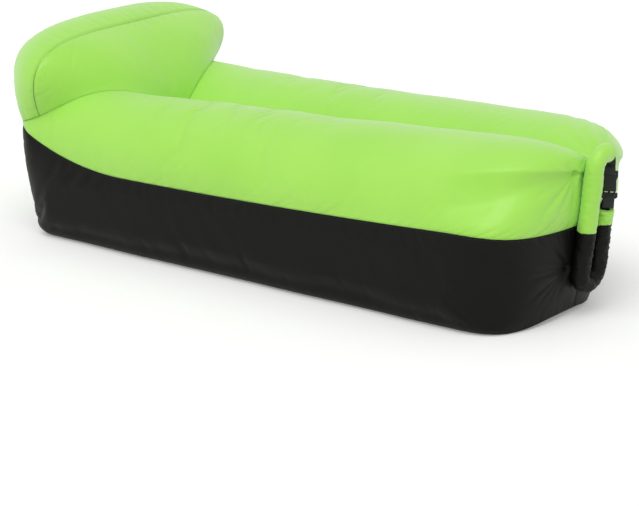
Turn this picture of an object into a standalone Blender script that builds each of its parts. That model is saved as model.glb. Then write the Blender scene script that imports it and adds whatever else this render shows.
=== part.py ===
"""Inflatable air lounger, in metres with +Z up.

It lies along X: the headrest is at the low X end and the rolled, buckled mouth at the high X end.
Its width is along Y, with the near side at negative Y, and it stands on its flat bottom panel.
Each cloth panel is a thin shell whose outer face is computed from the named sizes below.
"""
import math

import bpy
import numpy as np
from mathutils import Matrix, Vector

# Body of the lounger
BODY_LENGTH = 1.69
BODY_WIDTH = 0.756
FOOT_WIDTH = 0.70
BASE_WIDTH = 0.716
WIDEST_HEIGHT = 0.255
CROWN_HEIGHT_HEAD = 0.430
CROWN_HEIGHT_FOOT = 0.495
CROWN_SPACING_HEAD = 0.57
CROWN_SPACING_FOOT = 0.255
SEAM_HEIGHT = 0.233
SEAM_HEIGHT_FOOT = 0.285
SEAM_HEIGHT_HEAD = 0.336
SEAM_RISE_LENGTH = 0.39
SEAM_RISE_POWER = 2.2
HEAD_LEAN = 0.047
HEAD_LEAN_LENGTH = 0.45
HEAD_CORNER_RADIUS = 0.06
BASE_EDGE_RADIUS = 0.035
BACK_WALL_BULGE = 0.006
VALLEY_TURN_SHARE = 0.957
VALLEY_EASE = 8.0
NARROWING_POWER = 1.5
MIDDLE_STATIONS = 14
HEAD_STATION_ANGLES = (0, 30, 60)
FOOT_STATION_ANGLES = (88, 72, 56, 40, 26, 14, 5, 0)
TUBE_COLUMNS = 17
WALL_ROWS = 6
LOW_EDGE_SHARES = (0, 0.04, 0.2, 0.5)

# Closed foot end of the body
NEAR_END_LENGTH = 0.206
FAR_END_LENGTH = 0.25
END_POWER = 3.2
FAR_LOW_LENGTH = 0.35
FAR_LOW_POWER = 1.8
FAR_TAPER_BOTTOM = 0.13
FAR_TAPER_TOP = 0.43
TOP_END_LENGTH = 0.256
TOP_END_POWER = 2.2
BOTTOM_END_LENGTH = 0.06
NECK_TOP = 0.425
NECK_BOTTOM = 0.022
FOOT_LEAN = 0.05
FOOT_PIVOT_SHARE = 0.8
GATHER_LENGTH = 0.30
GATHER_DEPTH = 0.009
GATHER_COUNT = 3
FOLD_DEPTH = 0.026
FOLD_PLACE_SHARE = 0.44
FOLD_WIDTH_SHARE = 0.13

# Headrest
HEADREST_REACH = 0.268
HEADREST_SIDE_SHARE = 0.167
HEADREST_EDGE_X = 0.077
HEADREST_EDGE_TOP = 0.584
HEADREST_BACK_X = 0.085
HEADREST_BACK_TOP = 0.578
HEADREST_SIDE_LEAN = 0.021
HEADREST_BAND_CROWN = 0.030
HEADREST_FACE_CROWN = 0.032
HEADREST_BACK_CROWN = 0.018
HEADREST_ROWS = 8
CROWN_FADE_POWER = 0.4
FRONT_FLARE_SHARE = 0.222
BACK_FLARE_SHARE = 0.163
ARCH_POWER = 4.07
SHOULDER_SHARE = 0.25

# Cloth, seams and the inner pieces
CLOTH = 0.0012
GAP = 0.0004
CORNER_GAP = 0.0009
NECK_GAP = 0.0012
FOOT_GAP = 0.0016
TAPE = 0.001
TAPE_WIDTH = 0.018
TAPE_CLEARANCE = 0.001
EDGE_CLEARANCE = 0.0019
WEB = 0.001
WEB_TOP_CLEARANCE = 0.004
WEB_END_MARGIN = 0.16
FILM = 0.0006
BAG_INSET = 0.014
BAG_HEAD_MARGIN = 0.05
BAG_MOUTH_MARGIN = 0.16
BAG_MOUTH_INSET = 0.05
BAG_TURN_SHARES = (0.1, 0.86)
BAG_WALL_SHARES = (0.12, 0.5, 0.9)
BAG_CENTRE_SHARE = 0.85
HEADREST_BAG_DEPTH = 0.12
HEADREST_BAG_END_INSET = 0.118
HEADREST_BAG_RISE = 0.002

# Rolled mouth
ROLL_RADIUS = 0.0275
ROLL_TURNS = 1.5
ROLL_PITCH = 0.0034
ROLL_CLOTH = 0.0018
ROLL_SIDES = 16
LEG_SPACING = 0.078
RING_TOP = 0.452
RING_TOP_RADIUS = 0.036
RING_BOTTOM = 0.09
ROLL_END_NEAR = 0.012
ROLL_END_FAR = 0.292
NEAR_COLOUR_CHANGE = 0.245
FAR_COLOUR_CHANGE = 0.252
STIFFENER_WIDTH = 0.024
STIFFENER = 0.0012
STIFFENER_PITCH = 0.0036
STIFFENER_MARGIN = 0.008

# Webbing and buckle
WEBBING_WIDTH = 0.030
WEBBING = 0.0016
WEBBING_INSERT = 0.015
TAIL_SHARE = 0.8
BUCKLE_MOUTH_HEIGHT = 0.340
BUCKLE_OFFSET = 0.0066
BUCKLE_YAW = math.radians(27)
SOCKET_WIDTH = 0.045
SOCKET_WAIST = 0.037
SOCKET_LENGTH = 0.055
SOCKET_THICKNESS = 0.012
SOCKET_WAIST_SHARE = 0.55
SOCKET_SHOULDER_SHARE = 0.72
SOCKET_WALL = 0.0022
CAVITY_DEPTH = 0.036
CAVITY_HEIGHT = 0.0066
SLOT_WIDTH = 0.033
SLOT_HEIGHT = 0.004
SLOT_MARGIN = 0.006
WINDOW_START = 0.012
WINDOW_LENGTH = 0.016
PLUG_LENGTH = 0.014
PLUG_THICKNESS = 0.011
PLUG_CLEARANCE = 0.0048
PLUG_BAR = 0.0043
PLUG_CORNER = 0.0035
GUIDE_WIDTH = 0.006
GUIDE_LENGTH = 0.028
GUIDE_THICKNESS = 0.0045
ARM_ROOT = 0.004
ARM_REACH = 0.031
ARM_WIDTH = 0.004
ARM_THICKNESS = 0.0056
ARM_CLEARANCE = 0.0004
EAR_RISE = 0.0016
EAR_TOP = 0.0216
EAR_END = 0.0272
EAR_SLOPE_SHARES = (0.6, 0.5)
BUCKLE_BEVEL = 0.0011
CUT_OVERRUN = 0.004
WELD_DISTANCE = 0.00001

LIME = (0.402, 0.800, 0.117)
BLACK = (0.012, 0.012, 0.010)
WHITE_FILM = (0.75, 0.77, 0.78)
BLACK_WEBBING = (0.008, 0.008, 0.009)
BLACK_PLASTIC = (0.006, 0.006, 0.007)


def clear_scene():
    """Remove every object so that the script starts from an empty scene."""
    for old in list(bpy.data.objects):
        bpy.data.objects.remove(old, do_unlink=True)


def new_collection(name):
    """A collection linked to the scene."""
    collection = bpy.data.collections.new(name)
    bpy.context.scene.collection.children.link(collection)
    return collection


def make_material(name, colour, roughness):
    """A Principled material."""
    material = bpy.data.materials.new(name)
    material.use_nodes = True
    shader = material.node_tree.nodes["Principled BSDF"]
    shader.inputs["Base Color"].default_value = (*colour, 1.0)
    shader.inputs["Roughness"].default_value = roughness
    shader.inputs["Metallic"].default_value = 0.0
    return material


# Outline of the body

def rounded(share, power):
    """Quarter of a superellipse: 0 at share 0, rising steeply, and 1 from share 1 on."""
    inner = np.clip(1 - share, 0, 1)
    return (1 - inner ** power) ** (1 / power)


def along(x):
    """Share of the way from the head to the neck."""
    return np.clip(x / BODY_LENGTH, 0, 1)


def seam_height(x):
    """Height of the seam between the top and the side panels."""
    rise = np.clip(1 - x / SEAM_RISE_LENGTH, 0, 1) ** SEAM_RISE_POWER
    level = SEAM_HEIGHT + (SEAM_HEIGHT_FOOT - SEAM_HEIGHT) * along(x) ** 2
    return level + (SEAM_HEIGHT_HEAD - SEAM_HEIGHT) * rise


def tube(x):
    """Crown height, crown offset from the middle, and the tube's two half axes."""
    crown = CROWN_HEIGHT_HEAD + (CROWN_HEIGHT_FOOT - CROWN_HEIGHT_HEAD) * along(x)
    offset = (CROWN_SPACING_HEAD + (CROWN_SPACING_FOOT - CROWN_SPACING_HEAD) * along(x)) / 2
    return crown, offset, BODY_WIDTH / 2 - offset, crown - WIDEST_HEIGHT


def corner_inset(x):
    """How far the upright head corner's rounding draws the side in."""
    share = np.clip(x / HEAD_CORNER_RADIUS, 0, 1)
    return HEAD_CORNER_RADIUS * (1 - np.sqrt(np.clip(1 - (1 - share) ** 2, 0, 1)))


def edge_inset(z):
    """How far the bottom edge's rounding draws a wall in."""
    below = np.clip(BASE_EDGE_RADIUS - z, 0, BASE_EDGE_RADIUS)
    return BASE_EDGE_RADIUS - np.sqrt(BASE_EDGE_RADIUS ** 2 - below ** 2)


def drawn_in(x, z, side):
    """Share of the width left at a station, where the foot end is drawn in to the neck."""
    left = BODY_LENGTH - x
    if side < 0:
        return rounded(left / NEAR_END_LENGTH, END_POWER)
    high = np.clip((z - FAR_TAPER_BOTTOM) / (FAR_TAPER_TOP - FAR_TAPER_BOTTOM), 0, 1)
    upper = rounded(left / FAR_END_LENGTH, END_POWER)
    lower = rounded(left / FAR_LOW_LENGTH, FAR_LOW_POWER)
    return lower + (upper - lower) * high ** 2 * (3 - 2 * high)


def place(x, y, z, side):
    """Draw a section point in toward the neck, lean both ends, and mirror it to its side."""
    narrow = 1 - (1 - FOOT_WIDTH / BODY_WIDTH) * along(x) ** NARROWING_POWER
    width = drawn_in(x, z, side) * narrow
    crown = tube(x)[0]
    top = NECK_TOP + (crown - NECK_TOP) * rounded((BODY_LENGTH - x) / TOP_END_LENGTH, TOP_END_POWER)
    bottom = NECK_BOTTOM * (1 - rounded((BODY_LENGTH - x) / BOTTOM_END_LENGTH, 2))
    height = bottom + (top - bottom) * z / crown
    head = np.clip(1 - x / HEAD_LEAN_LENGTH, 0, 1) ** 2
    edge = np.clip(1 - x / (3 * BASE_EDGE_RADIUS), 0, 1)
    shift = -HEAD_LEAN * head * height / SEAM_HEIGHT_HEAD + edge_inset(z) * edge
    shift = shift + FOOT_LEAN * along(x) ** 8 * (height / NECK_TOP - FOOT_PIVOT_SHARE)
    across = np.maximum(y * width, GAP / 2 + NECK_GAP * (1 - width))
    return np.stack([x + shift, side * across, height], -1)


def top_point(x, turn, side):
    """Point on a top panel: turn 0 at the side seam, 1 at the valley in the middle."""
    crown, offset, half_width, half_height = tube(x)
    valley_cosine = -((offset / half_width) ** -VALLEY_EASE + VALLEY_TURN_SHARE ** -VALLEY_EASE) ** (-1 / VALLEY_EASE)
    start = np.arcsin(np.clip((seam_height(x) - WIDEST_HEIGHT) / half_height, -1, 1))
    angle = start + (np.arccos(valley_cosine) - start) * turn
    reach = offset + half_width * np.cos(angle) - (offset + half_width * valley_cosine) * turn ** 3
    inset = corner_inset(x) * np.clip(reach / (BODY_WIDTH / 2), 0, 1)
    return place(x, reach - inset, WIDEST_HEIGHT + half_height * np.sin(angle), side)


def wall_reach(x, z):
    """Half width of the body at a height below the side seam."""
    crown, offset, half_width, half_height = tube(x)
    lower = np.sin(math.pi / 2 * np.clip(z / WIDEST_HEIGHT, 0, 1))
    flat = (BASE_WIDTH + (BODY_WIDTH - BASE_WIDTH) * lower) / 2
    above = np.clip((z - WIDEST_HEIGHT) / half_height, 0, 1)
    return np.where(z < WIDEST_HEIGHT, flat, offset + half_width * np.sqrt(1 - above ** 2))


def side_point(x, share, side):
    """Point on a side panel: share 0 at the bottom seam, 1 at the side seam."""
    z = seam_height(x) * share
    return place(x, wall_reach(x, z) - edge_inset(z) - corner_inset(x), z, side)


def bottom_point(x, share):
    """Point on the bottom panel: share -1 at the near seam, 1 at the far seam."""
    near = side_point(x, 0 * x, -1)
    far = side_point(x, 0 * x, 1)
    mix = ((share + 1) / 2)[..., None]
    return near * (1 - mix) + far * mix


def head_start(turn):
    """Station where the top panel meets the headrest, for each turn from the side seam."""
    return HEADREST_REACH * (1 - (1 - turn) ** 2)


# Stations along the body

def stations():
    """Shares of the body's length, close together in the head corner and at the neck."""
    count = MIDDLE_STATIONS
    corner = [1 - math.cos(math.radians(a)) for a in HEAD_STATION_ANGLES]
    head = [HEAD_CORNER_RADIUS * c / BODY_LENGTH for c in corner]
    left = [1 - math.cos(math.radians(a)) ** (2 / END_POWER) for a in FOOT_STATION_ANGLES]
    foot = [1 - NEAR_END_LENGTH * share / BODY_LENGTH for share in left]
    start = HEAD_CORNER_RADIUS / BODY_LENGTH
    middle = [start + (foot[0] - start) * i / count for i in range(count)]
    return np.array(head + middle + foot)


def grid_normals(points):
    """Unit normals of a grid of points."""
    rows = np.gradient(points, axis=0)
    columns = np.gradient(points, axis=1)
    normal = np.cross(rows, columns)
    length = np.linalg.norm(normal, axis=-1, keepdims=True)
    return normal / np.maximum(length, 1e-12)


def gather(points, x, turn, facing):
    """Press the big fold and the radiating gathers into the foot end of a top panel."""
    near_neck = np.clip((x - (BODY_LENGTH - GATHER_LENGTH)) / GATHER_LENGTH, 0, 1)
    left = np.clip((BODY_LENGTH - x) / NEAR_END_LENGTH, 0, 1)
    fade = near_neck ** 1.5 * rounded(left, END_POWER) * np.sin(math.pi * turn)
    fold = FOLD_DEPTH * np.exp(-((turn - FOLD_PLACE_SHARE) / FOLD_WIDTH_SHARE) ** 2)
    fan = 0.5 - 0.5 * np.cos(2 * math.pi * GATHER_COUNT * turn)
    depth = fade * (fold + GATHER_DEPTH * fan)
    return points - grid_normals(points) * (facing * depth)[..., None]


# Solids

def mesh_object(name, vertices, faces, material, collection):
    """An object made of the given loft."""
    mesh = bpy.data.meshes.new(name)
    mesh.from_pydata([tuple(map(float, v)) for v in vertices], [], faces)
    mesh.materials.append(material)
    mesh.shade_smooth()
    made = bpy.data.objects.new(name, mesh)
    collection.objects.link(made)
    return made


def thicken(made, thickness, offset=-1.0):
    """Turn an open surface into a thin closed wall."""
    wall = made.modifiers.new("Thickness", "SOLIDIFY")
    wall.thickness = thickness
    wall.offset = offset
    wall.use_even_offset = False
    return made


def cloth(name, grid, facing, material, collection, thickness=CLOTH):
    """A cloth panel: a grid of points on its outer face, thickened inward.

    facing is 1 where the rows crossed with the columns point out of the lounger, and -1 otherwise.
    """
    rows, columns = grid.shape[:2]
    faces = []
    for i in range(rows - 1):
        for j in range(columns - 1):
            a = i * columns + j
            face = (a, a + columns, a + columns + 1, a + 1)
            faces.append(face if facing > 0 else face[::-1])
    made = mesh_object(name, grid.reshape(-1, 3), faces, material, collection)
    return thicken(made, thickness)


def sweep(name, path, widths, profile, material, collection):
    """A closed profile carried along a path, with its first axis held along the given widths."""
    path = np.asarray(path, float)
    tangents = np.gradient(path, axis=0)
    tangents /= np.linalg.norm(tangents, axis=1, keepdims=True)
    vertices = []
    for point, tangent, width in zip(path, tangents, widths):
        first = np.asarray(width) - tangent * np.dot(width, tangent)
        first /= np.linalg.norm(first)
        second = np.cross(tangent, first)
        vertices += [point + first * u + second * v for u, v in profile]
    count = len(profile)
    faces = [tuple(range(count))[::-1], tuple(range(len(vertices) - count, len(vertices)))]
    for i in range(len(path) - 1):
        for j in range(count):
            k = (j + 1) % count
            faces.append((i * count + j, i * count + k, (i + 1) * count + k, (i + 1) * count + j))
    return mesh_object(name, vertices, faces, material, collection)


# Cloth shell

def trimmed(count, start_gap, end_gap, length):
    """Even shares from 0 to 1, shortened by a gap at each end of a stretch of this length."""
    return np.linspace(start_gap / length, 1 - end_gap / length, count)


def tube_turns():
    """Turns of a top panel's lines of points, from the side seam to the valley."""
    tube_arc = math.pi * (CROWN_HEIGHT_HEAD - WIDEST_HEIGHT)
    return trimmed(TUBE_COLUMNS, CORNER_GAP, GAP / 2, tube_arc)


def top_panels(lime, collection):
    """The two lime top panels, one over each tube."""
    t, turn = np.meshgrid(stations(), tube_turns(), indexing="ij")
    start = head_start(turn) + 2 * GAP * np.minimum(turn / HEADREST_SIDE_SHARE, 1)
    x = start + (BODY_LENGTH - start) * t
    for name, side in (("near_top_panel", -1), ("far_top_panel", 1)):
        facing = -side
        grid = gather(top_point(x, turn, side), x, turn, facing)
        cloth(name, grid, facing, lime, collection)


def wall_shares():
    """Shares of a wall's height, close together over its rounded lower edge."""
    edge = BASE_EDGE_RADIUS / SEAM_HEIGHT
    low = [share * edge for share in LOW_EDGE_SHARES]
    shares = np.array(low + list(np.linspace(edge, 1, WALL_ROWS)))
    return shares * (1 - GAP / (2 * SEAM_HEIGHT))


def side_panels(black, collection):
    """The two black side walls, each with the rounded lower edge."""
    t, share = np.meshgrid(stations(), wall_shares(), indexing="ij")
    for name, side in (("near_side_panel", -1), ("far_side_panel", 1)):
        cloth(name, side_point(t * BODY_LENGTH, share, side), -side, black, collection)


def bottom_panel(black, collection):
    """The flat black panel that the lounger stands on."""
    gap_share = CORNER_GAP / (BASE_WIDTH / 2)
    t, share = np.meshgrid(stations(), np.linspace(-1 + gap_share, 1 - gap_share, 5), indexing="ij")
    x = t * BODY_LENGTH
    points = bottom_point(x, share)
    points[..., 0] -= FOOT_GAP * along(x) ** 8
    points[..., 0] += CORNER_GAP * np.clip(1 - x / HEAD_CORNER_RADIUS, 0, 1)
    cloth("bottom_panel", points, -1, black, collection)


def back_wall_point(across, share):
    """Point on the flat head end: across -1 to 1, share 0 at the floor and 1 at the headrest."""
    zero = 0 * across
    near = side_point(zero, share, -1)
    far = side_point(zero, share, 1)
    mix = ((across + 1) / 2)[..., None]
    point = near * (1 - mix) + far * mix
    bulge = BACK_WALL_BULGE * (1 - across ** 2) * np.sin(math.pi * share) ** 1.5
    point[..., 0] -= bulge
    return point


def back_wall(black, collection):
    """The black wall at the head end."""
    shares = wall_shares()
    shares[0] = CORNER_GAP ** 2 / (2 * BASE_EDGE_RADIUS) / SEAM_HEIGHT_HEAD
    gap_share = CORNER_GAP / (BASE_WIDTH / 2 - HEAD_CORNER_RADIUS)
    across, share = np.meshgrid(np.linspace(-1 + gap_share, 1 - gap_share, 9), shares, indexing="ij")
    cloth("back_wall_panel", back_wall_point(across, share), -1, black, collection)


# Headrest

def foot_curve(turn, side):
    """Line where the headrest stands on a top panel."""
    return top_point(head_start(turn), turn, side)


def arch(share, front):
    """Upper outline of the headrest, from its near foot over the top to its far foot."""
    turn = np.array(HEADREST_SIDE_SHARE if front else 0.0)
    foot = foot_curve(turn, -1)
    top = HEADREST_EDGE_TOP if front else HEADREST_BACK_TOP
    back = HEADREST_EDGE_X if front else -HEADREST_BACK_X
    angle = math.pi * np.asarray(share, float)
    cosine = np.cos(angle)
    sine = np.clip(np.sin(angle), 0, 1)
    stretch = (np.abs(cosine) ** ARCH_POWER + sine ** ARCH_POWER) ** (-1 / ARCH_POWER)
    rise = sine * stretch
    flare = FRONT_FLARE_SHARE if front else BACK_FLARE_SHARE
    early = 1 - (1 - rise) ** 3
    x = foot[0] + (back - foot[0]) * (1 - (1 - rise) ** 2)
    y = foot[1] * cosine * stretch * (1 + flare * early) + HEADREST_SIDE_LEAN * early
    return np.stack([x, y, foot[2] + (top - foot[2]) * rise], -1)


def patch(u, v, bottom, arch_side):
    """Surface between a bottom line and an arch, in rows u across and v upward."""
    top = arch(SHOULDER_SHARE + (1 - 2 * SHOULDER_SHARE) * u, arch_side)
    left = arch(SHOULDER_SHARE * v, arch_side)
    right = arch(1 - SHOULDER_SHARE * v, arch_side)
    low = (1 - v)[..., None]
    mix = u[..., None]
    c00, c10 = arch(0.0, arch_side), arch(1.0, arch_side)
    c01, c11 = arch(SHOULDER_SHARE, arch_side), arch(1 - SHOULDER_SHARE, arch_side)
    corners = low * ((1 - mix) * c00 + mix * c10) + (1 - low) * ((1 - mix) * c01 + mix * c11)
    return low * bottom + (1 - low) * top + (1 - mix) * left + mix * right - corners


def front_bottom(u):
    """Foot line of the headrest's front face, from the near side over both tubes."""
    reach = 1 - np.abs(2 * u - 1)
    turn = HEADREST_SIDE_SHARE + (1 - HEADREST_SIDE_SHARE) * reach
    near = foot_curve(turn, -1)
    far = foot_curve(turn, 1)
    return np.where((u < 0.5)[..., None], near, far)


def across_shares():
    """Shares across the headrest, one for each line of points on the two top panels."""
    turns = tube_turns()
    turns = turns[turns > HEADREST_SIDE_SHARE][:-1]
    near = (turns - HEADREST_SIDE_SHARE) / (1 - HEADREST_SIDE_SHARE) / 2
    near = np.concatenate([[CLOTH / BODY_WIDTH], near])
    return np.concatenate([near, [0.5], 1 - near[::-1]])


def headrest_front(lime, collection):
    """The reclined, gently crowned front face of the headrest."""
    height = HEADREST_EDGE_TOP - CROWN_HEIGHT_HEAD
    up = trimmed(HEADREST_ROWS, GAP, EDGE_CLEARANCE, height)
    u, v = np.meshgrid(across_shares(), up, indexing="ij")
    points = patch(u, v, front_bottom(u), True)
    crown = HEADREST_FACE_CROWN * (4 * u * (1 - u)) ** CROWN_FADE_POWER * np.sin(math.pi * v)
    points[..., 0] += crown
    points[..., 2] += crown / 2
    cloth("headrest_front_panel", points, 1, lime, collection)


def headrest_back(lime, collection):
    """The lime back face of the headrest, above the black wall."""
    height = HEADREST_BACK_TOP - SEAM_HEIGHT_HEAD
    u, v = np.meshgrid(across_shares(), trimmed(HEADREST_ROWS, GAP, CLOTH, height), indexing="ij")
    line = back_wall_point(2 * u - 1, 1 + 0 * u)
    points = patch(u, v, line, False)
    points[..., 0] -= HEADREST_BACK_CROWN * (4 * u * (1 - u)) ** CROWN_FADE_POWER * np.sin(math.pi * v)
    cloth("headrest_back_panel", points, -1, lime, collection)


def band_point(w, s):
    """Point on the headrest's band: w around the arch, s from its front edge to its back edge."""
    mix = s[..., None]
    straight = arch(w, True) * (1 - mix) + arch(w, False) * mix
    angle = math.pi * w
    lift = HEADREST_BAND_CROWN * 4 * s * (1 - s) * np.clip(np.sin(angle), 0, 1) ** 0.5
    straight[..., 1] -= lift * np.sign(np.cos(angle)) * np.abs(np.cos(angle)) ** 3
    straight[..., 2] += lift * np.clip(np.sin(angle), 0, 1)
    return straight


def headrest_band(lime, collection):
    """The band over the top and sides of the headrest, between its two arched edges."""
    height = HEADREST_EDGE_TOP - CROWN_HEIGHT_HEAD
    rising = SHOULDER_SHARE * trimmed(HEADREST_ROWS, 2 * GAP, EDGE_CLEARANCE, height)
    over = SHOULDER_SHARE + (1 - 2 * SHOULDER_SHARE) * across_shares()
    around = np.concatenate([rising, over[1:-1], 1 - rising[::-1]])
    depth = HEADREST_EDGE_X + HEADREST_BACK_X
    w, s = np.meshgrid(around, trimmed(HEADREST_ROWS - 1, CLOTH, CLOTH, depth), indexing="ij")
    points = band_point(w, s)
    for side, nearness in ((-1, w), (1, 1 - w)):
        edge = foot_curve(HEADREST_SIDE_SHARE * (1 - s), side)
        start = band_point(np.full_like(w, 0.0 if side < 0 else 1.0), s)
        weight = np.clip(1 - nearness / SHOULDER_SHARE, 0, 1)[..., None] ** 2
        points = points + (edge - start) * weight
    cloth("headrest_band_panel", points, 1, lime, collection)


# Inside

def inward(points, facing, distance):
    """Move a grid of points inward."""
    return points - grid_normals(points) * facing * distance


def seam_tapes(tape, collection):
    """Tapes welded inside over the side seams and the bottom seams."""
    x = (stations()[5:-8] * BODY_LENGTH)[:, None]
    tube_arc = math.pi * (CROWN_HEIGHT_HEAD - WIDEST_HEIGHT)
    half = TAPE_WIDTH / 2
    edge = half / SEAM_HEIGHT
    for name, side in (("near", -1), ("far", 1)):
        rows = [side_point(x, 1 - edge + 0 * x, side), side_point(x, 1 + 0 * x, side),
                top_point(x, half / tube_arc + 0 * x, side)]
        grid = np.concatenate(rows, axis=1)
        grid = inward(grid, -side, CLOTH + TAPE_CLEARANCE)
        cloth(name + "_side_seam_tape", grid, -side, tape, collection, TAPE)
        flat_share = 1 - half / (BASE_WIDTH / 2 - BASE_EDGE_RADIUS)
        rows = [bottom_point(x, side * flat_share + 0 * x), side_point(x, 0 * x, side),
                side_point(x, 0.2 * edge + 0 * x, side)]
        grid = inward(np.concatenate(rows, axis=1), -side, CLOTH + TAPE_CLEARANCE)
        cloth(name + "_bottom_seam_tape", grid, -side, tape, collection, TAPE)


def centre_web(web, collection):
    """The upright cloth that ties the valley to the bottom panel and splits the two chambers."""
    x = np.linspace(HEADREST_REACH + WEB_END_MARGIN / 2, BODY_LENGTH - WEB_END_MARGIN, 40)
    valley = top_point(x, 1 + 0 * x, -1)
    floor = CLOTH + GAP
    rows = [np.stack([valley[:, 0], 0 * x, floor + (valley[:, 2] - WEB_TOP_CLEARANCE - floor) * share], -1)
            for share in (0.0, 0.5, 1.0)]
    made = cloth("centre_web", np.stack(rows, axis=1), 1, web, collection, WEB)
    made.modifiers["Thickness"].offset = 0.0


def bag_section(x, side):
    """Loop of points round one air bag at a station."""
    turns = np.linspace(*BAG_TURN_SHARES, TUBE_COLUMNS // 2)
    shares = np.array(BAG_WALL_SHARES)
    loop = [side_point(x + 0 * shares, shares, side), top_point(x + 0 * turns, turns, side)]
    skin = np.concatenate(loop)
    inner_y = side * (WEB / 2 + GAP + FILM)
    valley = top_point(np.array([x]), np.array([1.0]), side)[0]
    upper = [valley[0], inner_y, valley[2] - 2 * BAG_INSET]
    lower = [valley[0], inner_y, 2 * BAG_INSET]
    inner = np.array([upper, lower])
    centre = np.array([x, side * BODY_WIDTH / 4, WIDEST_HEIGHT * BAG_CENTRE_SHARE])
    away = skin - centre
    away[:, 0] = 0
    inset = BAG_INSET + BAG_MOUTH_INSET * along(x) ** 8
    skin = skin - away / np.linalg.norm(away, axis=1, keepdims=True) * inset
    return np.concatenate([skin, inner])


def air_bags(film, collection):
    """A film bag in each tube, closed at the head and open toward the mouth."""
    places = np.linspace(BAG_HEAD_MARGIN + HEAD_CORNER_RADIUS, BODY_LENGTH - BAG_MOUTH_MARGIN, 9)
    for name, side in (("near_air_bag", -1), ("far_air_bag", 1)):
        rings = [bag_section(x, side) for x in places]
        count = len(rings[0])
        faces = []
        for i in range(len(rings) - 1):
            for j in range(count):
                k = (j + 1) % count
                face = (i * count + j, (i + 1) * count + j, (i + 1) * count + k, i * count + k)
                faces.append(face if side > 0 else face[::-1])
        middle = count * len(rings)
        for j in range(count):
            face = (j, (j + 1) % count, middle)
            faces.append(face if side > 0 else face[::-1])
        vertices = np.concatenate(rings + [rings[0].mean(axis=0, keepdims=True)])
        thicken(mesh_object(name, vertices, faces, film, collection), FILM)


def headrest_bag(film, collection):
    """The headrest's own film bag, a flattened dome that is open below."""
    rows, columns = 7, 20
    middle_x, middle_y, crown = band_point(np.array(0.5), np.array(0.5))
    base = CROWN_HEIGHT_HEAD + HEADREST_BAG_RISE
    height = crown - CLOTH - GAP - base
    half_depth = HEADREST_BAG_DEPTH / 2
    half_width = BODY_WIDTH / 2 - HEADREST_BAG_END_INSET
    vertices = []
    for i in range(rows):
        rise = math.pi / 2 * i / rows
        spread = math.cos(rise)
        for j in range(columns):
            turn = 2 * math.pi * j / columns
            x = middle_x + half_depth * spread * math.cos(turn)
            y = middle_y + half_width * spread * math.sin(turn)
            vertices.append((x, y, base + height * math.sin(rise)))
    vertices.append((middle_x, middle_y, base + height))
    faces = []
    for j in range(columns):
        k = (j + 1) % columns
        for i in range(rows - 1):
            faces.append((i * columns + j, i * columns + k, (i + 1) * columns + k, (i + 1) * columns + j))
        faces.append(((rows - 1) * columns + j, (rows - 1) * columns + k, rows * columns))
    thicken(mesh_object("headrest_air_bag", vertices, faces, film, collection), FILM)


# Rolled mouth

def ring_x(z):
    """Where the roll lies, just clear of the leaning foot wall."""
    return BODY_LENGTH + FOOT_LEAN * (z / NECK_TOP - FOOT_PIVOT_SHARE) + ROLL_RADIUS + GAP


def arc_points(centre_y, centre_z, radius, start, end, count):
    """Points on an arc in the ring's upright plane, without the first one."""
    angles = np.radians(np.linspace(start, end, count + 1))[1:]
    return [(centre_y + radius * math.cos(a), centre_z + radius * math.sin(a)) for a in angles]


def straight(y, start, end, count):
    """Points up or down one leg of the ring, without the first one."""
    return [(y, z) for z in np.linspace(start, end, count + 1)[1:]]


def ring_stretches():
    """Middle line of the roll as (y, z), in its upper, lower and end colour stretches."""
    leg = LEG_SPACING / 2
    top_y = -leg + RING_TOP_RADIUS
    high = RING_TOP - RING_TOP_RADIUS
    low = RING_BOTTOM + leg
    upper = [(ROLL_END_NEAR, RING_TOP), (top_y, RING_TOP)]
    upper += arc_points(top_y, high, RING_TOP_RADIUS, 90, 180, 4)
    upper += straight(-leg, high, NEAR_COLOUR_CHANGE, 4)
    lower = [(-leg, NEAR_COLOUR_CHANGE)] + straight(-leg, NEAR_COLOUR_CHANGE, low, 3)
    lower += arc_points(0, low, leg, 180, 360, 7)
    lower += straight(leg, low, FAR_COLOUR_CHANGE, 3)
    end = [(leg, FAR_COLOUR_CHANGE)] + straight(leg, FAR_COLOUR_CHANGE, ROLL_END_FAR, 2)
    return upper, lower, end


def spiral_profile():
    """Section of the rolled cloth: its outer end faces the body, its inner end lies on a stiffener."""
    lip = (STIFFENER_PITCH + STIFFENER + ROLL_CLOTH) / 2 + 2 * GAP
    count = round(ROLL_TURNS * ROLL_SIDES)
    centre = []
    for i in range(count + 1):
        turn = ROLL_TURNS * i / count
        angle = math.pi + 2 * math.pi * turn
        radius = ROLL_RADIUS - ROLL_CLOTH / 2 - ROLL_PITCH * turn
        centre.append((radius * math.cos(angle), radius * math.sin(angle)))
    corner = ROLL_RADIUS - ROLL_CLOTH / 2 - ROLL_PITCH * ROLL_TURNS - lip
    centre += arc_points(corner, 0, lip, 0, 90, 4)
    centre.append((-STIFFENER_WIDTH / 4, lip))
    line = np.array(centre)
    along_line = np.gradient(line, axis=0)
    along_line /= np.linalg.norm(along_line, axis=1, keepdims=True)
    across_line = np.stack([along_line[:, 1], -along_line[:, 0]], -1) * ROLL_CLOTH / 2
    return list(line + across_line) + list((line - across_line)[::-1])


def ring_points(path):
    """Place a (y, z) line on the foot wall's lean."""
    return np.array([(ring_x(z), y, z) for y, z in path])


def shortened(path, start_gap, end_gap):
    """The same line with its ends drawn back a little."""
    points = [Vector(p) for p in path]
    points[0] = points[0] + (points[1] - points[0]).normalized() * start_gap
    points[-1] = points[-1] + (points[-2] - points[-1]).normalized() * end_gap
    return points


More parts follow.
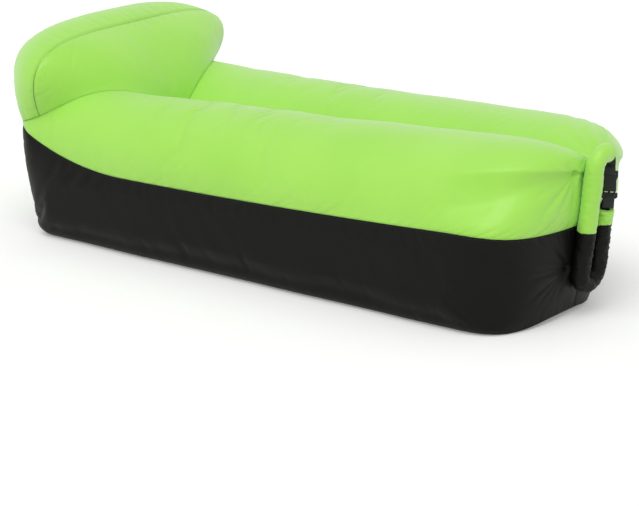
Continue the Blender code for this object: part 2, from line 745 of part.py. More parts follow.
def rolled_mouth(lime, black, collection):
    """The mouth rolled up and bent round into a tall narrow ring, in its three colour stretches."""
    names = ("rolled_mouth_upper", "rolled_mouth_lower", "rolled_mouth_end")
    profile = spiral_profile()
    for name, line, material in zip(names, ring_stretches(), (lime, black, lime)):
        points = shortened(ring_points(line), GAP / 2, GAP / 2)
        sweep(name, points, [(1, 0, 0)] * len(points), profile, material, collection)


def stiffeners(tape, collection):
    """The two stiffening strips sewn along the lips of the mouth, in the middle of the roll."""
    upper, lower, end = ring_stretches()
    points = shortened(ring_points(upper + lower[1:] + end[1:]), STIFFENER_MARGIN, STIFFENER_MARGIN)
    half, thin = STIFFENER_WIDTH / 2, STIFFENER / 2
    for name, side in (("mouth_stiffener_outer", 1), ("mouth_stiffener_inner", -1)):
        low = side * STIFFENER_PITCH / 2 - thin
        high = low + STIFFENER
        profile = [(-half, low), (half, low), (half, high), (-half, high)]
        sweep(name, points, [(1, 0, 0)] * len(points), profile, tape, collection)


# Webbing and buckle

def buckle_matrix():
    """Frame of the buckle: origin at the socket's mouth, Z up the webbing, -Y out of its face."""
    leg = LEG_SPACING / 2
    spot = Vector((ring_x(BUCKLE_MOUTH_HEIGHT) + BUCKLE_OFFSET, leg, BUCKLE_MOUTH_HEIGHT))
    return Matrix.Translation(spot) @ Matrix.Rotation(BUCKLE_YAW, 4, "Z")


def webbing(name, lines, material, collection):
    """Flat webbing along a line of (point, width direction) pairs."""
    half, thin = WEBBING_WIDTH / 2, WEBBING / 2
    profile = [(-half, -thin), (half, -thin), (half, thin), (-half, thin)]
    points = [point for point, width in lines]
    widths = [width for point, width in lines]
    return sweep(name, points, widths, profile, material, collection)


def upper_webbing(material, collection):
    """Webbing from the roll's upper end, round the socket's bar and sewn back on itself."""
    frame = buckle_matrix()
    across = frame.to_3x3() @ Vector((1, 0, 0))
    bar = SOCKET_THICKNESS / 2 + WEBBING / 2 + GAP
    slot = SOCKET_LENGTH - SLOT_MARGIN - SLOT_HEIGHT / 2
    turn = (SLOT_HEIGHT - WEBBING) / 2
    sewn = SOCKET_LENGTH + 4 * turn + bar
    front = [(-WEBBING, sewn), (-bar, SOCKET_LENGTH + turn), (-bar, slot + turn), (turn - bar, slot)]
    back = [(bar - turn, slot), (bar, slot + turn), (bar, SOCKET_LENGTH + turn), (WEBBING, sewn)]
    line = [(frame @ Vector((0, y, z)), across) for y, z in front + back]
    end = Vector((ring_x(RING_TOP), ROLL_END_NEAR, RING_TOP))
    last = line[-1][0]
    bend = Vector((last.x, last.y, RING_TOP))
    steps = 5
    straight = Vector((1, 0, 0))
    for i in range(1, steps + 1):
        angle = math.pi / 2 * i / steps
        y = last.y + (end.y - last.y) * (1 - math.cos(angle))
        z = last.z + (bend.z - last.z) * math.sin(angle)
        share = i / steps
        line.append((Vector((last.x + (end.x - last.x) * share, y, z)), across.lerp(straight, share)))
    line.append((Vector((end.x, end.y - WEBBING_INSERT, RING_TOP)), straight))
    return webbing("upper_webbing", line, material, collection)


def lower_webbing(material, collection):
    """Webbing from the roll's lower end, round the plug's bar, with its free tail in front."""
    frame = buckle_matrix()
    across = frame.to_3x3() @ Vector((1, 0, 0))
    bar = PLUG_THICKNESS / 2 + WEBBING / 2 + GAP
    bottom = -PLUG_CLEARANCE - PLUG_LENGTH
    slot = bottom + PLUG_BAR + SLOT_HEIGHT / 2
    turn = (SLOT_HEIGHT - WEBBING) / 2
    roll_end = ROLL_END_FAR - BUCKLE_MOUTH_HEIGHT
    tail = bottom + (roll_end - bottom) * TAIL_SHARE
    front = [(-bar - 4 * WEBBING, tail), (-bar - WEBBING, (tail + bottom) / 2)]
    front += [(-bar, slot - turn), (turn - bar, slot)]
    back = [(bar - turn, slot), (bar, slot - turn), (bar, bottom - turn)]
    line = [(frame @ Vector((0, y, z)), across) for y, z in front + back]
    for z in (ROLL_END_FAR, ROLL_END_FAR - WEBBING_INSERT):
        line.append((Vector((ring_x(z), LEG_SPACING / 2, z)), Vector((1, 0, 0))))
    return webbing("lower_webbing", line, material, collection)


def outline_plate(name, outline, thickness, bevel, material, collection, frame):
    """A flat plate from an outline in the buckle's own X and Z, with eased edges."""
    curve = bpy.data.curves.new(name, "CURVE")
    curve.dimensions = "2D"
    curve.fill_mode = "BOTH"
    curve.extrude = thickness / 2
    spline = curve.splines.new("POLY")
    spline.points.add(len(outline) - 1)
    for point, (x, z) in zip(spline.points, outline):
        point.co = (x, z, 0, 1)
    spline.use_cyclic_u = True
    shape = bpy.data.objects.new(name, curve)
    bpy.context.scene.collection.objects.link(shape)
    mesh = bpy.data.meshes.new_from_object(shape.evaluated_get(bpy.context.evaluated_depsgraph_get()))
    bpy.data.objects.remove(shape)
    mesh.transform(Matrix.Rotation(math.pi / 2, 4, "X"))
    mesh.materials.clear()
    mesh.materials.append(material)
    made = bpy.data.objects.new(name, mesh)
    collection.objects.link(made)
    made.matrix_world = frame
    weld = made.modifiers.new("Weld", "WELD")
    weld.merge_threshold = WELD_DISTANCE
    if bevel:
        ease = made.modifiers.new("Eased edges", "BEVEL")
        ease.width = bevel
        ease.segments = 2
        ease.angle_limit = math.radians(50)
    return made


def box(name, size, centre, frame, collection):
    """A cutter or joined block in the buckle's frame."""
    bpy.ops.mesh.primitive_cube_add(size=1)
    made = bpy.context.active_object
    made.name = name
    for old in list(made.users_collection):
        old.objects.unlink(made)
    collection.objects.link(made)
    made.matrix_world = frame @ Matrix.Translation(centre) @ Matrix.Diagonal((*size, 1))
    made.hide_render = True
    made.display_type = "WIRE"
    return made


def boolean(target, tool, operation):
    """Cut a piece, or join a block to it."""
    step = target.modifiers.new(tool.name, "BOOLEAN")
    step.operation = operation
    step.object = tool
    step.solver = "EXACT"


def socket(plastic, collection, cutters):
    """The buckle's socket: a waisted shell with a cavity, two windows and a webbing slot."""
    frame = buckle_matrix()
    half, waist = SOCKET_WIDTH / 2, SOCKET_WAIST / 2
    bend = SOCKET_LENGTH * SOCKET_WAIST_SHARE
    shoulder = SOCKET_LENGTH * SOCKET_SHOULDER_SHARE
    outline = [(-waist, 0), (waist, 0), (waist, bend), (half, shoulder), (half, SOCKET_LENGTH),
               (-half, SOCKET_LENGTH), (-half, shoulder), (-waist, bend)]
    made = outline_plate("buckle_socket", outline, SOCKET_THICKNESS, BUCKLE_BEVEL, plastic, collection, frame)
    depth = CAVITY_DEPTH + CUT_OVERRUN
    cavity_size = (SOCKET_WAIST - 2 * SOCKET_WALL, CAVITY_HEIGHT, depth)
    cavity = box("socket_cavity", cavity_size, (0, 0, CAVITY_DEPTH - depth / 2), frame, cutters)
    window_size = (SOCKET_WAIST + 2 * CUT_OVERRUN, CAVITY_HEIGHT, WINDOW_LENGTH)
    window = box("socket_windows", window_size, (0, 0, WINDOW_START + WINDOW_LENGTH / 2), frame, cutters)
    slot_size = (SLOT_WIDTH, SOCKET_THICKNESS + 2 * CUT_OVERRUN, SLOT_HEIGHT)
    slot_z = SOCKET_LENGTH - SLOT_MARGIN - SLOT_HEIGHT / 2
    slot = box("socket_slot", slot_size, (0, 0, slot_z), frame, cutters)
    for tool in (cavity, window, slot):
        boolean(made, tool, "DIFFERENCE")


def plug(plastic, collection, cutters):
    """The plug's base with its webbing slot and its middle guide."""
    frame = buckle_matrix()
    top = -PLUG_CLEARANCE
    bottom = top - PLUG_LENGTH
    half = SOCKET_WIDTH / 2
    inner, low = half - PLUG_CORNER, bottom + PLUG_CORNER
    outline = [(-inner, bottom), (inner, bottom), (half, low), (half, top), (-half, top), (-half, low)]
    made = outline_plate("buckle_plug", outline, PLUG_THICKNESS, BUCKLE_BEVEL, plastic, collection, frame)
    length = GUIDE_LENGTH + CUT_OVERRUN
    guide_size = (GUIDE_WIDTH, GUIDE_THICKNESS, length)
    guide = box("plug_guide", guide_size, (0, 0, top + GUIDE_LENGTH - length / 2), frame, cutters)
    slot_size = (SLOT_WIDTH, PLUG_THICKNESS + 2 * CUT_OVERRUN, SLOT_HEIGHT)
    slot = box("plug_slot", slot_size, (0, 0, bottom + PLUG_BAR + SLOT_HEIGHT / 2), frame, cutters)
    boolean(made, guide, "UNION")
    boolean(made, slot, "DIFFERENCE")


def plug_arms(plastic, collection):
    """The plug's two springy arms, each with the long ear that sits in the socket's window."""
    root_x = SOCKET_WAIST / 2 - SOCKET_WALL - ARM_CLEARANCE - ARM_WIDTH / 2
    half = ARM_WIDTH / 2
    tip = ARM_REACH + ARM_ROOT
    ear = EAR_TOP + ARM_ROOT
    round_share, back_share = EAR_SLOPE_SHARES
    outer = [(half, 0), (half, WINDOW_START + ARM_ROOT), (half + EAR_RISE, ear)]
    outer.append((half + EAR_RISE * round_share, ear + half))
    outer.append((half - EAR_RISE * back_share, EAR_END + ARM_ROOT))
    outline = outer + [(0, tip), (-half, tip - half), (-half, 0)]
    for name, side in (("near_plug_arm", -1), ("far_plug_arm", 1)):
        frame = buckle_matrix() @ Matrix.Translation((side * root_x, 0, -ARM_ROOT))
        sided = [(x * side, z) for x, z in outline][::side]
        outline_plate(name, sided, ARM_THICKNESS, 0, plastic, collection, frame)


def centre_on_origin(collection):
    """Move the whole lounger so that the origin is under the middle of its outline."""
    depsgraph = bpy.context.evaluated_depsgraph_get()
    corners = []
    for piece in collection.objects:
        evaluated = piece.evaluated_get(depsgraph)
        corners += [piece.matrix_world @ v.co for v in evaluated.to_mesh().vertices]
        evaluated.to_mesh_clear()
    low = [min(c[i] for c in corners) for i in range(3)]
    high = [max(c[i] for c in corners) for i in range(3)]
    shift = Matrix.Translation((-(low[0] + high[0]) / 2, -(low[1] + high[1]) / 2, -low[2]))
    for piece in bpy.context.scene.objects:
        piece.matrix_world = shift @ piece.matrix_world
    print("overall size", [round(h - l, 4) for h, l in zip(high, low)])
    print("moved by", [round(v, 5) for v in shift.translation])


def build():
    """Model the lounger."""
    clear_scene()
    parts = new_collection("air_lounger")
    cutters = new_collection("cutters")
    lime = make_material("lime_polyester", LIME, 0.42)
    black = make_material("black_polyester", BLACK, 0.5)
    film = make_material("air_bag_film", WHITE_FILM, 0.35)
    tape = make_material("seam_tape", WHITE_FILM, 0.5)
    strap = make_material("black_webbing", BLACK_WEBBING, 0.7)
    plastic = make_material("black_acetal", BLACK_PLASTIC, 0.4)
    top_panels(lime, parts)
    side_panels(black, parts)
    bottom_panel(black, parts)
    back_wall(black, parts)
    headrest_front(lime, parts)
    headrest_band(lime, parts)
    headrest_back(lime, parts)
    centre_web(black, parts)
    seam_tapes(tape, parts)
    air_bags(film, parts)
    headrest_bag(film, parts)
    rolled_mouth(lime, black, parts)
    stiffeners(tape, parts)
    upper_webbing(strap, parts)
    lower_webbing(strap, parts)
    socket(plastic, parts, cutters)
    plug(plastic, parts, cutters)
    plug_arms(plastic, parts)
    bpy.context.view_layer.update()
    centre_on_origin(parts)


build()
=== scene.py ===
"""Looks of the inflatable air lounger, laid out as an add-on and run as a script.

The shape functions repeat the outline that the CAD model was made from, in metres, so that each
cover lies on the cloth panel that it stands for. X runs from the headrest to the rolled mouth.
"""

import math

import bpy
import numpy as np
from bpy.props import FloatProperty, IntProperty, PointerProperty, StringProperty
from mathutils import Matrix, Vector


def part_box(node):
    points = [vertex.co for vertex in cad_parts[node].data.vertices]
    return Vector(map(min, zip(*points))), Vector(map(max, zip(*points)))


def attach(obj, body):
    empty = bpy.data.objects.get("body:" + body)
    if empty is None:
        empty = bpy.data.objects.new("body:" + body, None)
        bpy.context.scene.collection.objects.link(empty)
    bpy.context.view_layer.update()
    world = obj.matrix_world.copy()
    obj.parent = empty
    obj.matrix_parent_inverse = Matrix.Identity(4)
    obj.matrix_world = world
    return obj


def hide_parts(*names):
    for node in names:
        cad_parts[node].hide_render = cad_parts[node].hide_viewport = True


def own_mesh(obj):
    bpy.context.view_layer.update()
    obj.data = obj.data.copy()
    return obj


bl_info = {
    "name": "Air lounger",
    "version": (1, 0, 0),
    "blender": (4, 5, 0),
    "location": "3D View > Sidebar > Air lounger",
    "description": "Builds the cloth, webbing, buckle and stage of an inflatable air lounger",
    "category": "Add Mesh",
}

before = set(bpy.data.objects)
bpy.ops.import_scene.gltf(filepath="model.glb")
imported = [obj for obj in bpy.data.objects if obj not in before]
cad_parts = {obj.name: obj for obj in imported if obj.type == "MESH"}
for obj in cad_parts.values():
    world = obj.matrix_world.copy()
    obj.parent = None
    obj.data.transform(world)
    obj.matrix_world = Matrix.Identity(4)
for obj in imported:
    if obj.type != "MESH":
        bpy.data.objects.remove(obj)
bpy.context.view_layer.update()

# Where the outline's own origin lies in the frame: the middle web marks its middle plane.
WEB_LOW, WEB_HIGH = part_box("centre_web")
ORIGIN = np.array([-0.831493, (WEB_LOW.y + WEB_HIGH.y) / 2, 0.0])

# Body of the lounger
BODY_LENGTH = 1.69
BODY_WIDTH = 0.756
FOOT_WIDTH = 0.70
BASE_WIDTH = 0.716
WIDEST_HEIGHT = 0.255
CROWN_HEIGHT_HEAD = 0.430
CROWN_HEIGHT_FOOT = 0.495
CROWN_SPACING_HEAD = 0.57
CROWN_SPACING_FOOT = 0.255
SEAM_HEIGHT = 0.233
SEAM_HEIGHT_FOOT = 0.285
SEAM_HEIGHT_HEAD = 0.336
SEAM_RISE_LENGTH = 0.39
SEAM_RISE_POWER = 2.2
HEAD_LEAN = 0.047
HEAD_LEAN_LENGTH = 0.45
HEAD_CORNER_RADIUS = 0.06
BASE_EDGE_RADIUS = 0.035
BACK_WALL_BULGE = 0.006
VALLEY_TURN_SHARE = 0.957
VALLEY_EASE = 8.0
NARROWING_POWER = 1.5

# Closed foot end of the body
NEAR_END_LENGTH = 0.206
FAR_END_LENGTH = 0.25
END_POWER = 3.2
FAR_LOW_LENGTH = 0.35
FAR_LOW_POWER = 1.8
FAR_TAPER_BOTTOM = 0.13
FAR_TAPER_TOP = 0.43
TOP_END_LENGTH = 0.256
TOP_END_POWER = 2.2
BOTTOM_END_LENGTH = 0.06
NECK_TOP = 0.425
NECK_BOTTOM = 0.022
FOOT_LEAN = 0.05
FOOT_PIVOT_SHARE = 0.8
FOOT_LEAN_POWER = 8

# Big folds of the top covers: depth, stations where they begin and are full, then at stations
# before the neck the turns of the ridge and of the valley below it
NEAR_FOLD = (0.032, 1.36, 1.58, (1.43, 1.50, 1.575, 1.616, 1.65, 1.674, 1.6885),
             (0.29, 0.333, 0.388, 0.419, 0.446, 0.475, 0.485),
             (0.14, 0.165, 0.21, 0.255, 0.31, 0.37, 0.46))
FAR_FOLD = (0.024, 1.59, 1.67, (1.60, 1.666, 1.684, 1.6895),
            (0.30, 0.33, 0.40, 0.50), (0.15, 0.19, 0.29, 0.47))
FOLD_SOFTNESS = 0.92

# Creases that run out from the gathered spots: direction in degrees, length and depth
NEAR_SPOT = (1.697, -0.077, 0.411)
NEAR_CREASES = ((176, 0.16, 0.003), (-171, 0.10, 0.0025), (-158, 0.15, 0.003),
                (-147, 0.10, 0.003), (-135, 0.16, 0.005), (-125, 0.08, 0.003),
                (-115, 0.13, 0.004), (-105, 0.10, 0.003), (-96, 0.14, 0.003),
                (163, 0.12, 0.003), (148, 0.10, 0.003), (130, 0.08, 0.002))
FAR_SPOT = (1.70, 0.039, 0.425)
FAR_CREASES = ((86, 0.07, 0.005), (62, 0.09, 0.007), (40, 0.08, 0.006), (20, 0.07, 0.007),
               (3, 0.07, 0.006), (-16, 0.06, 0.005), (128, 0.09, 0.004), (150, 0.12, 0.004))
LOW_SPOT = (1.69, -0.085, 0.15)
LOW_CREASES = ((166, 0.10, 0.003), (-179, 0.13, 0.005), (-165, 0.10, 0.003), (-152, 0.15, 0.004),
               (-140, 0.13, 0.005), (-128, 0.12, 0.004), (-115, 0.10, 0.004), (145, 0.09, 0.003),
               (122, 0.10, 0.003))
FAR_LOW_CREASES = ((14, 0.12, 0.004), (-1, 0.15, 0.005), (-17, 0.13, 0.004), (-33, 0.15, 0.005),
                   (-50, 0.13, 0.005), (-68, 0.11, 0.004), (35, 0.10, 0.003), (58, 0.10, 0.003))
CREASE_WIDTH = 0.0032
CREASE_SPREAD = 0.006
CREASE_REACH = 0.32
CREASE_FADE = 0.1
CREASE_GAIN = 2.4
# Low lip beside a crease: its height, how far off it lies and its width, for a crease of one
LIP_HEIGHT, LIP_OFFSET, LIP_WIDTH = 0.45, 2.3, 1.6
SPOT_TURN = math.radians(40)

# Headrest
HEADREST_REACH = 0.268
HEADREST_SIDE_SHARE = 0.167
HEADREST_EDGE_X = 0.077
HEADREST_EDGE_TOP = 0.584
HEADREST_BACK_X = 0.085
HEADREST_BACK_TOP = 0.578
HEADREST_SIDE_LEAN = 0.021
HEADREST_BAND_CROWN = 0.030
HEADREST_FACE_CROWN = 0.032
HEADREST_BACK_CROWN = 0.018
CROWN_FADE_POWER = 0.4
# The front's lower edge is evened out over this share of its width, which fades upward
FACE_SPREAD = 0.13
FACE_FADE = 7
FRONT_FLARE_SHARE = 0.222
BACK_FLARE_SHARE = 0.163
ARCH_POWER = 4.07
SHOULDER_SHARE = 0.25

# Cloth and gaps
CLOTH = 0.0012
GAP = 0.0004
CORNER_GAP = 0.0009
NECK_GAP = 0.0012
FOOT_GAP = 0.0016
SEAM_CLOSE = 0.0002

# Random waves in the cloth: how many are added up, along a seam and in space, what keeps their
# sum within about -1 to 1, and their shortest and longest lengths
SEAM_WAVES, SPACE_WAVES = 9, 14
WAVE_PEAK = 1.6
PUCKER_LENGTHS = (0.017, 0.06)
REACH_LENGTHS = (0.05, 0.21)
SWELL_LENGTH, RIPPLE_LENGTH = 0.31, 0.09
HELD_REACH = 0.05
SEAM_SHADE_REACH = 0.02

# The cloth while it settles: thin, light and hardly springy
CLOTH_PHYSICS = {"quality": 5, "mass": 0.1, "tension_stiffness": 20, "compression_stiffness": 20,
                 "shear_stiffness": 5, "bending_stiffness": 0.02, "tension_damping": 10,
                 "compression_damping": 10, "shear_damping": 10, "air_damping": 4}
SETTLING_FRAMES = 16

# How far the cloth may settle, which is little on the rounded lower edge
MOST_MOVE = 0.012
EDGE_MOVE = 0.001
CALM_HEIGHT = 0.09

# Tapes and stitches; the tapes lie a little deeper than in the CAD model, under the tucks
TAPE = 0.0006
TAPE_WIDTH = 0.022
TAPE_DEPTH = 0.006
BACKING_WIDTH = 0.009
BACKING_DEPTH = 0.0028
STITCH_PITCH = 0.0045
STITCH_LENGTH = 0.0034
THREAD = 0.0009
# Rows of stitches: covers, edge of the grid (first, last, left or right) and distance from it
STITCH_ROWS = {
    "lime": (("top", 2, 0.004), ("top", 0, 0.005), ("top", 3, 0.005), ("headrest_band", 2, 0.004),
             ("headrest_band", 2, 0.009), ("headrest_band", 3, 0.004), ("headrest_back", 2, 0.004)),
    "black": (("side", 3, 0.004), ("side", 2, 0.004), ("back_wall", 0, 0.004),
              ("back_wall", 1, 0.004)),
}

# Rolled mouth
ROLL_RADIUS = 0.0275
ROLL_TURNS = 3.0
ROLL_PITCH = 0.0034
ROLL_CLOTH = 0.0014
ROLL_SIDES = 28
LEG_SPACING = 0.078
RING_TOP = 0.452
RING_TOP_RADIUS = 0.036
RING_BOTTOM = 0.09
ROLL_END_NEAR = 0.012
ROLL_END_FAR = 0.292
NEAR_COLOUR_CHANGE = 0.245
FAR_COLOUR_CHANGE = 0.252

# Crumpled cloth of the roll: depth and size of its broad bends, then of each stretch's own folds
ROLL_BENDS = (0.0014, 0.07)
ROLL_FOLDS = {"upper": (0.0006, 0.02), "lower": (0.0012, 0.014), "end": (0.0018, 0.013)}

# Webbing and buckle
WEBBING_WIDTH = 0.030
WEBBING = 0.0016
WEBBING_INSERT = 0.015
LOOP_POINTS = 8
TAIL_SHARE = 0.8
BUCKLE_MOUTH_HEIGHT = 0.340
BUCKLE_OFFSET = 0.0066
BUCKLE_YAW = math.radians(27)
SOCKET_LENGTH = 0.055
SOCKET_THICKNESS = 0.012
SLOT_HEIGHT = 0.004
SLOT_MARGIN = 0.006
PLUG_LENGTH = 0.014
PLUG_THICKNESS = 0.011
PLUG_CLEARANCE = 0.0048
PLUG_BAR = 0.0043

# Stage: half the floor's width, the lamp's spread and tilts, and the camera, whose lens and shift
# are in pixels of a picture of the given width
FLOOR_REACH = 30
FLOOR_COLOUR = (0.86, 0.86, 0.85, 1)
FLOOR_GLOW = 0.22
WHITE = (1, 1, 1, 1)
LAMP_SPREAD = math.radians(50)
LAMP_TILTS = (math.radians(30), math.radians(12), 0)
CAMERA_TARGET = Vector((-0.0354, ORIGIN[1], 0.236))
PICTURE_WIDTH = 639
LENS_PIXELS = 2490
SHIFT_PIXELS = -78
SENSOR_WIDTH = 36


# Outline, as in the CAD model

def rounded(share, power):
    """Quarter of a superellipse: 0 at share 0, rising steeply, and 1 from share 1 on."""
    inner = np.clip(1 - share, 0, 1)
    return (1 - inner ** power) ** (1 / power)


def along(x):
    """Share of the way from the head to the neck."""
    return np.clip(x / BODY_LENGTH, 0, 1)


def seam_height(x):
    """Height of the seam between the top and the side panels."""
    rise = np.clip(1 - x / SEAM_RISE_LENGTH, 0, 1) ** SEAM_RISE_POWER
    level = SEAM_HEIGHT + (SEAM_HEIGHT_FOOT - SEAM_HEIGHT) * along(x) ** 2
    return level + (SEAM_HEIGHT_HEAD - SEAM_HEIGHT) * rise


def tube(x):
    """Crown height, crown offset from the middle, and the tube's two half axes."""
    crown = CROWN_HEIGHT_HEAD + (CROWN_HEIGHT_FOOT - CROWN_HEIGHT_HEAD) * along(x)
    offset = (CROWN_SPACING_HEAD + (CROWN_SPACING_FOOT - CROWN_SPACING_HEAD) * along(x)) / 2
    return crown, offset, BODY_WIDTH / 2 - offset, crown - WIDEST_HEIGHT


def corner_inset(x):
    """How far the upright head corner's rounding draws the side in."""
    share = np.clip(x / HEAD_CORNER_RADIUS, 0, 1)
    return HEAD_CORNER_RADIUS * (1 - np.sqrt(np.clip(1 - (1 - share) ** 2, 0, 1)))


def edge_inset(z):
    """How far the bottom edge's rounding draws a wall in."""
    below = np.clip(BASE_EDGE_RADIUS - z, 0, BASE_EDGE_RADIUS)
    return BASE_EDGE_RADIUS - np.sqrt(BASE_EDGE_RADIUS ** 2 - below ** 2)


def drawn_in(x, z, side):
    """Share of the width left at a station, where the foot end is drawn in to the neck."""
    left = BODY_LENGTH - x
    if side < 0:
        return rounded(left / NEAR_END_LENGTH, END_POWER)
    high = np.clip((z - FAR_TAPER_BOTTOM) / (FAR_TAPER_TOP - FAR_TAPER_BOTTOM), 0, 1)
    upper = rounded(left / FAR_END_LENGTH, END_POWER)
    lower = rounded(left / FAR_LOW_LENGTH, FAR_LOW_POWER)
    return lower + (upper - lower) * high ** 2 * (3 - 2 * high)


def place(x, y, z, side):
    """Draw a section point in toward the neck, lean both ends, and mirror it to its side."""
    narrow = 1 - (1 - FOOT_WIDTH / BODY_WIDTH) * along(x) ** NARROWING_POWER
    width = drawn_in(x, z, side) * narrow
    crown = tube(x)[0]
    top = NECK_TOP + (crown - NECK_TOP) * rounded((BODY_LENGTH - x) / TOP_END_LENGTH, TOP_END_POWER)
    bottom = NECK_BOTTOM * (1 - rounded((BODY_LENGTH - x) / BOTTOM_END_LENGTH, 2))
    height = bottom + (top - bottom) * z / crown
    head = np.clip(1 - x / HEAD_LEAN_LENGTH, 0, 1) ** 2
    edge = np.clip(1 - x / (3 * BASE_EDGE_RADIUS), 0, 1)
    shift = -HEAD_LEAN * head * height / SEAM_HEIGHT_HEAD + edge_inset(z) * edge
    shift = shift + FOOT_LEAN * along(x) ** FOOT_LEAN_POWER * (height / NECK_TOP - FOOT_PIVOT_SHARE)
    across = np.maximum(y * width, GAP / 2 + NECK_GAP * (1 - width))
    return np.stack([x + shift, side * across, height], -1)


def top_point(x, turn, side):
    """Point on a top panel: turn 0 at the side seam, 1 at the valley in the middle."""
    offset, half_width, half_height = tube(x)[1:]
    meeting = (offset / half_width) ** -VALLEY_EASE + VALLEY_TURN_SHARE ** -VALLEY_EASE
    valley_cosine = -meeting ** (-1 / VALLEY_EASE)
    start = np.arcsin(np.clip((seam_height(x) - WIDEST_HEIGHT) / half_height, -1, 1))
    angle = start + (np.arccos(valley_cosine) - start) * turn
    reach = offset + half_width * np.cos(angle) - (offset + half_width * valley_cosine) * turn ** 3
    inset = corner_inset(x) * np.clip(reach / (BODY_WIDTH / 2), 0, 1)
    return place(x, reach - inset, WIDEST_HEIGHT + half_height * np.sin(angle), side)


def wall_reach(x, z):
    """Half width of the body at a height below the side seam."""
    offset, half_width, half_height = tube(x)[1:]
    lower = np.sin(math.pi / 2 * np.clip(z / WIDEST_HEIGHT, 0, 1))
    flat = (BASE_WIDTH + (BODY_WIDTH - BASE_WIDTH) * lower) / 2
    above = np.clip((z - WIDEST_HEIGHT) / half_height, 0, 1)
    return np.where(z < WIDEST_HEIGHT, flat, offset + half_width * np.sqrt(1 - above ** 2))


def side_point(x, share, side):
    """Point on a side panel: share 0 at the bottom seam, 1 at the side seam."""
    z = seam_height(x) * share
    return place(x, wall_reach(x, z) - edge_inset(z) - corner_inset(x), z, side)


def bottom_point(x, share):
    """Point on the bottom panel: share -1 at the near seam, 1 at the far seam."""
    near = side_point(x, 0 * x, -1)
    far = side_point(x, 0 * x, 1)
    mix = ((share + 1) / 2)[..., None]
    return near * (1 - mix) + far * mix


def head_start(turn):
    """Station where the top panel meets the headrest, for each turn from the side seam."""
    return HEADREST_REACH * (1 - (1 - turn) ** 2)


def foot_curve(turn, side):
    """Line where the headrest stands on a top panel."""
    return top_point(head_start(turn), turn, side)


def back_wall_point(across, share):
    """Point on the flat head end: across -1 to 1, share 0 at the floor and 1 at the headrest."""
    zero = 0 * across
    mix = ((across + 1) / 2)[..., None]
    point = side_point(zero, share, -1) * (1 - mix) + side_point(zero, share, 1) * mix
    point[..., 0] -= BACK_WALL_BULGE * (1 - across ** 2) * np.sin(math.pi * share) ** 1.5
    return point


def arch(share, front):
    """Upper outline of the headrest, from its near foot over the top to its far foot."""
    turn = np.array(HEADREST_SIDE_SHARE if front else 0.0)
    foot = foot_curve(turn, -1)
    top = HEADREST_EDGE_TOP if front else HEADREST_BACK_TOP
    back = HEADREST_EDGE_X if front else -HEADREST_BACK_X
    angle = math.pi * np.asarray(share, float)
    cosine = np.cos(angle)
    sine = np.clip(np.sin(angle), 0, 1)
    stretch = (np.abs(cosine) ** ARCH_POWER + sine ** ARCH_POWER) ** (-1 / ARCH_POWER)
    rise = sine * stretch
    flare = FRONT_FLARE_SHARE if front else BACK_FLARE_SHARE
    early = 1 - (1 - rise) ** 3
    x = foot[0] + (back - foot[0]) * (1 - (1 - rise) ** 2)
    y = foot[1] * cosine * stretch * (1 + flare * early) + HEADREST_SIDE_LEAN * early
    return np.stack([x, y, foot[2] + (top - foot[2]) * rise], -1)


def patch(u, v, bottom, front):
    """Surface between a bottom line and an arch, in rows u across and v upward."""
    top = arch(SHOULDER_SHARE + (1 - 2 * SHOULDER_SHARE) * u, front)
    left = arch(SHOULDER_SHARE * v, front)
    right = arch(1 - SHOULDER_SHARE * v, front)
    low = (1 - v)[..., None]
    mix = u[..., None]
    c00, c10 = arch(0.0, front), arch(1.0, front)
    c01, c11 = arch(SHOULDER_SHARE, front), arch(1 - SHOULDER_SHARE, front)
    corners = low * ((1 - mix) * c00 + mix * c10) + (1 - low) * ((1 - mix) * c01 + mix * c11)
    return low * bottom + (1 - low) * top + (1 - mix) * left + mix * right - corners


def front_bottom(u):
    """Foot line of the headrest's front face, from the near side over both tubes."""
    reach = 1 - np.abs(2 * u - 1)
    turn = HEADREST_SIDE_SHARE + (1 - HEADREST_SIDE_SHARE) * reach
    return np.where((u < 0.5)[..., None], foot_curve(turn, -1), foot_curve(turn, 1))


def band_point(w, s):
    """Point on the headrest's band: w around the arch, s from its front edge to its back edge."""
    mix = s[..., None]
    straight = arch(w, True) * (1 - mix) + arch(w, False) * mix
    angle = math.pi * w
    lift = HEADREST_BAND_CROWN * 4 * s * (1 - s) * np.clip(np.sin(angle), 0, 1) ** 0.5
    straight[..., 1] -= lift * np.sign(np.cos(angle)) * np.abs(np.cos(angle)) ** 3
    straight[..., 2] += lift * np.clip(np.sin(angle), 0, 1)
    return straight


# Making pieces

def add_object(name, data):
    """A new object in the scene for a mesh, a lamp or a camera."""
    made = bpy.data.objects.new(name, data)
    bpy.context.scene.collection.objects.link(made)
    return made


def woven_piece(name, points, faces, flat, material):
    """A smooth piece with its finish and, for each corner of its faces, its place in the weave."""
    mesh = bpy.data.meshes.new(name)
    mesh.from_pydata((points + ORIGIN).reshape(-1, 3).tolist(), [], faces)
    mesh.uv_layers.new(name="weave").data.foreach_set("uv", np.ravel(flat))
    mesh.materials.append(material)
    mesh.shade_smooth()
    return add_object(name, mesh)


def set_points(made, points):
    """Move a piece's points to the given places."""
    made.data.vertices.foreach_set("co", points.astype(np.float32).ravel())
    made.data.update()


def pairs(first, second):
    """Two grids of values: the first changes from row to row, the second along each row."""
    return np.meshgrid(first, second, indexing="ij")


def run(points):
    """Distance along each line of points, down the first axis."""
    steps = np.linalg.norm(np.diff(points, axis=0), axis=-1)
    return np.concatenate([np.zeros((1, *steps.shape[1:])), np.cumsum(steps, axis=0)])


# Cloth shaping

def grid_normals(points):
    """Unit normals of a grid of points."""
    normal = np.cross(np.gradient(points, axis=0), np.gradient(points, axis=1))
    return normal / np.maximum(np.linalg.norm(normal, axis=-1, keepdims=True), 1e-12)


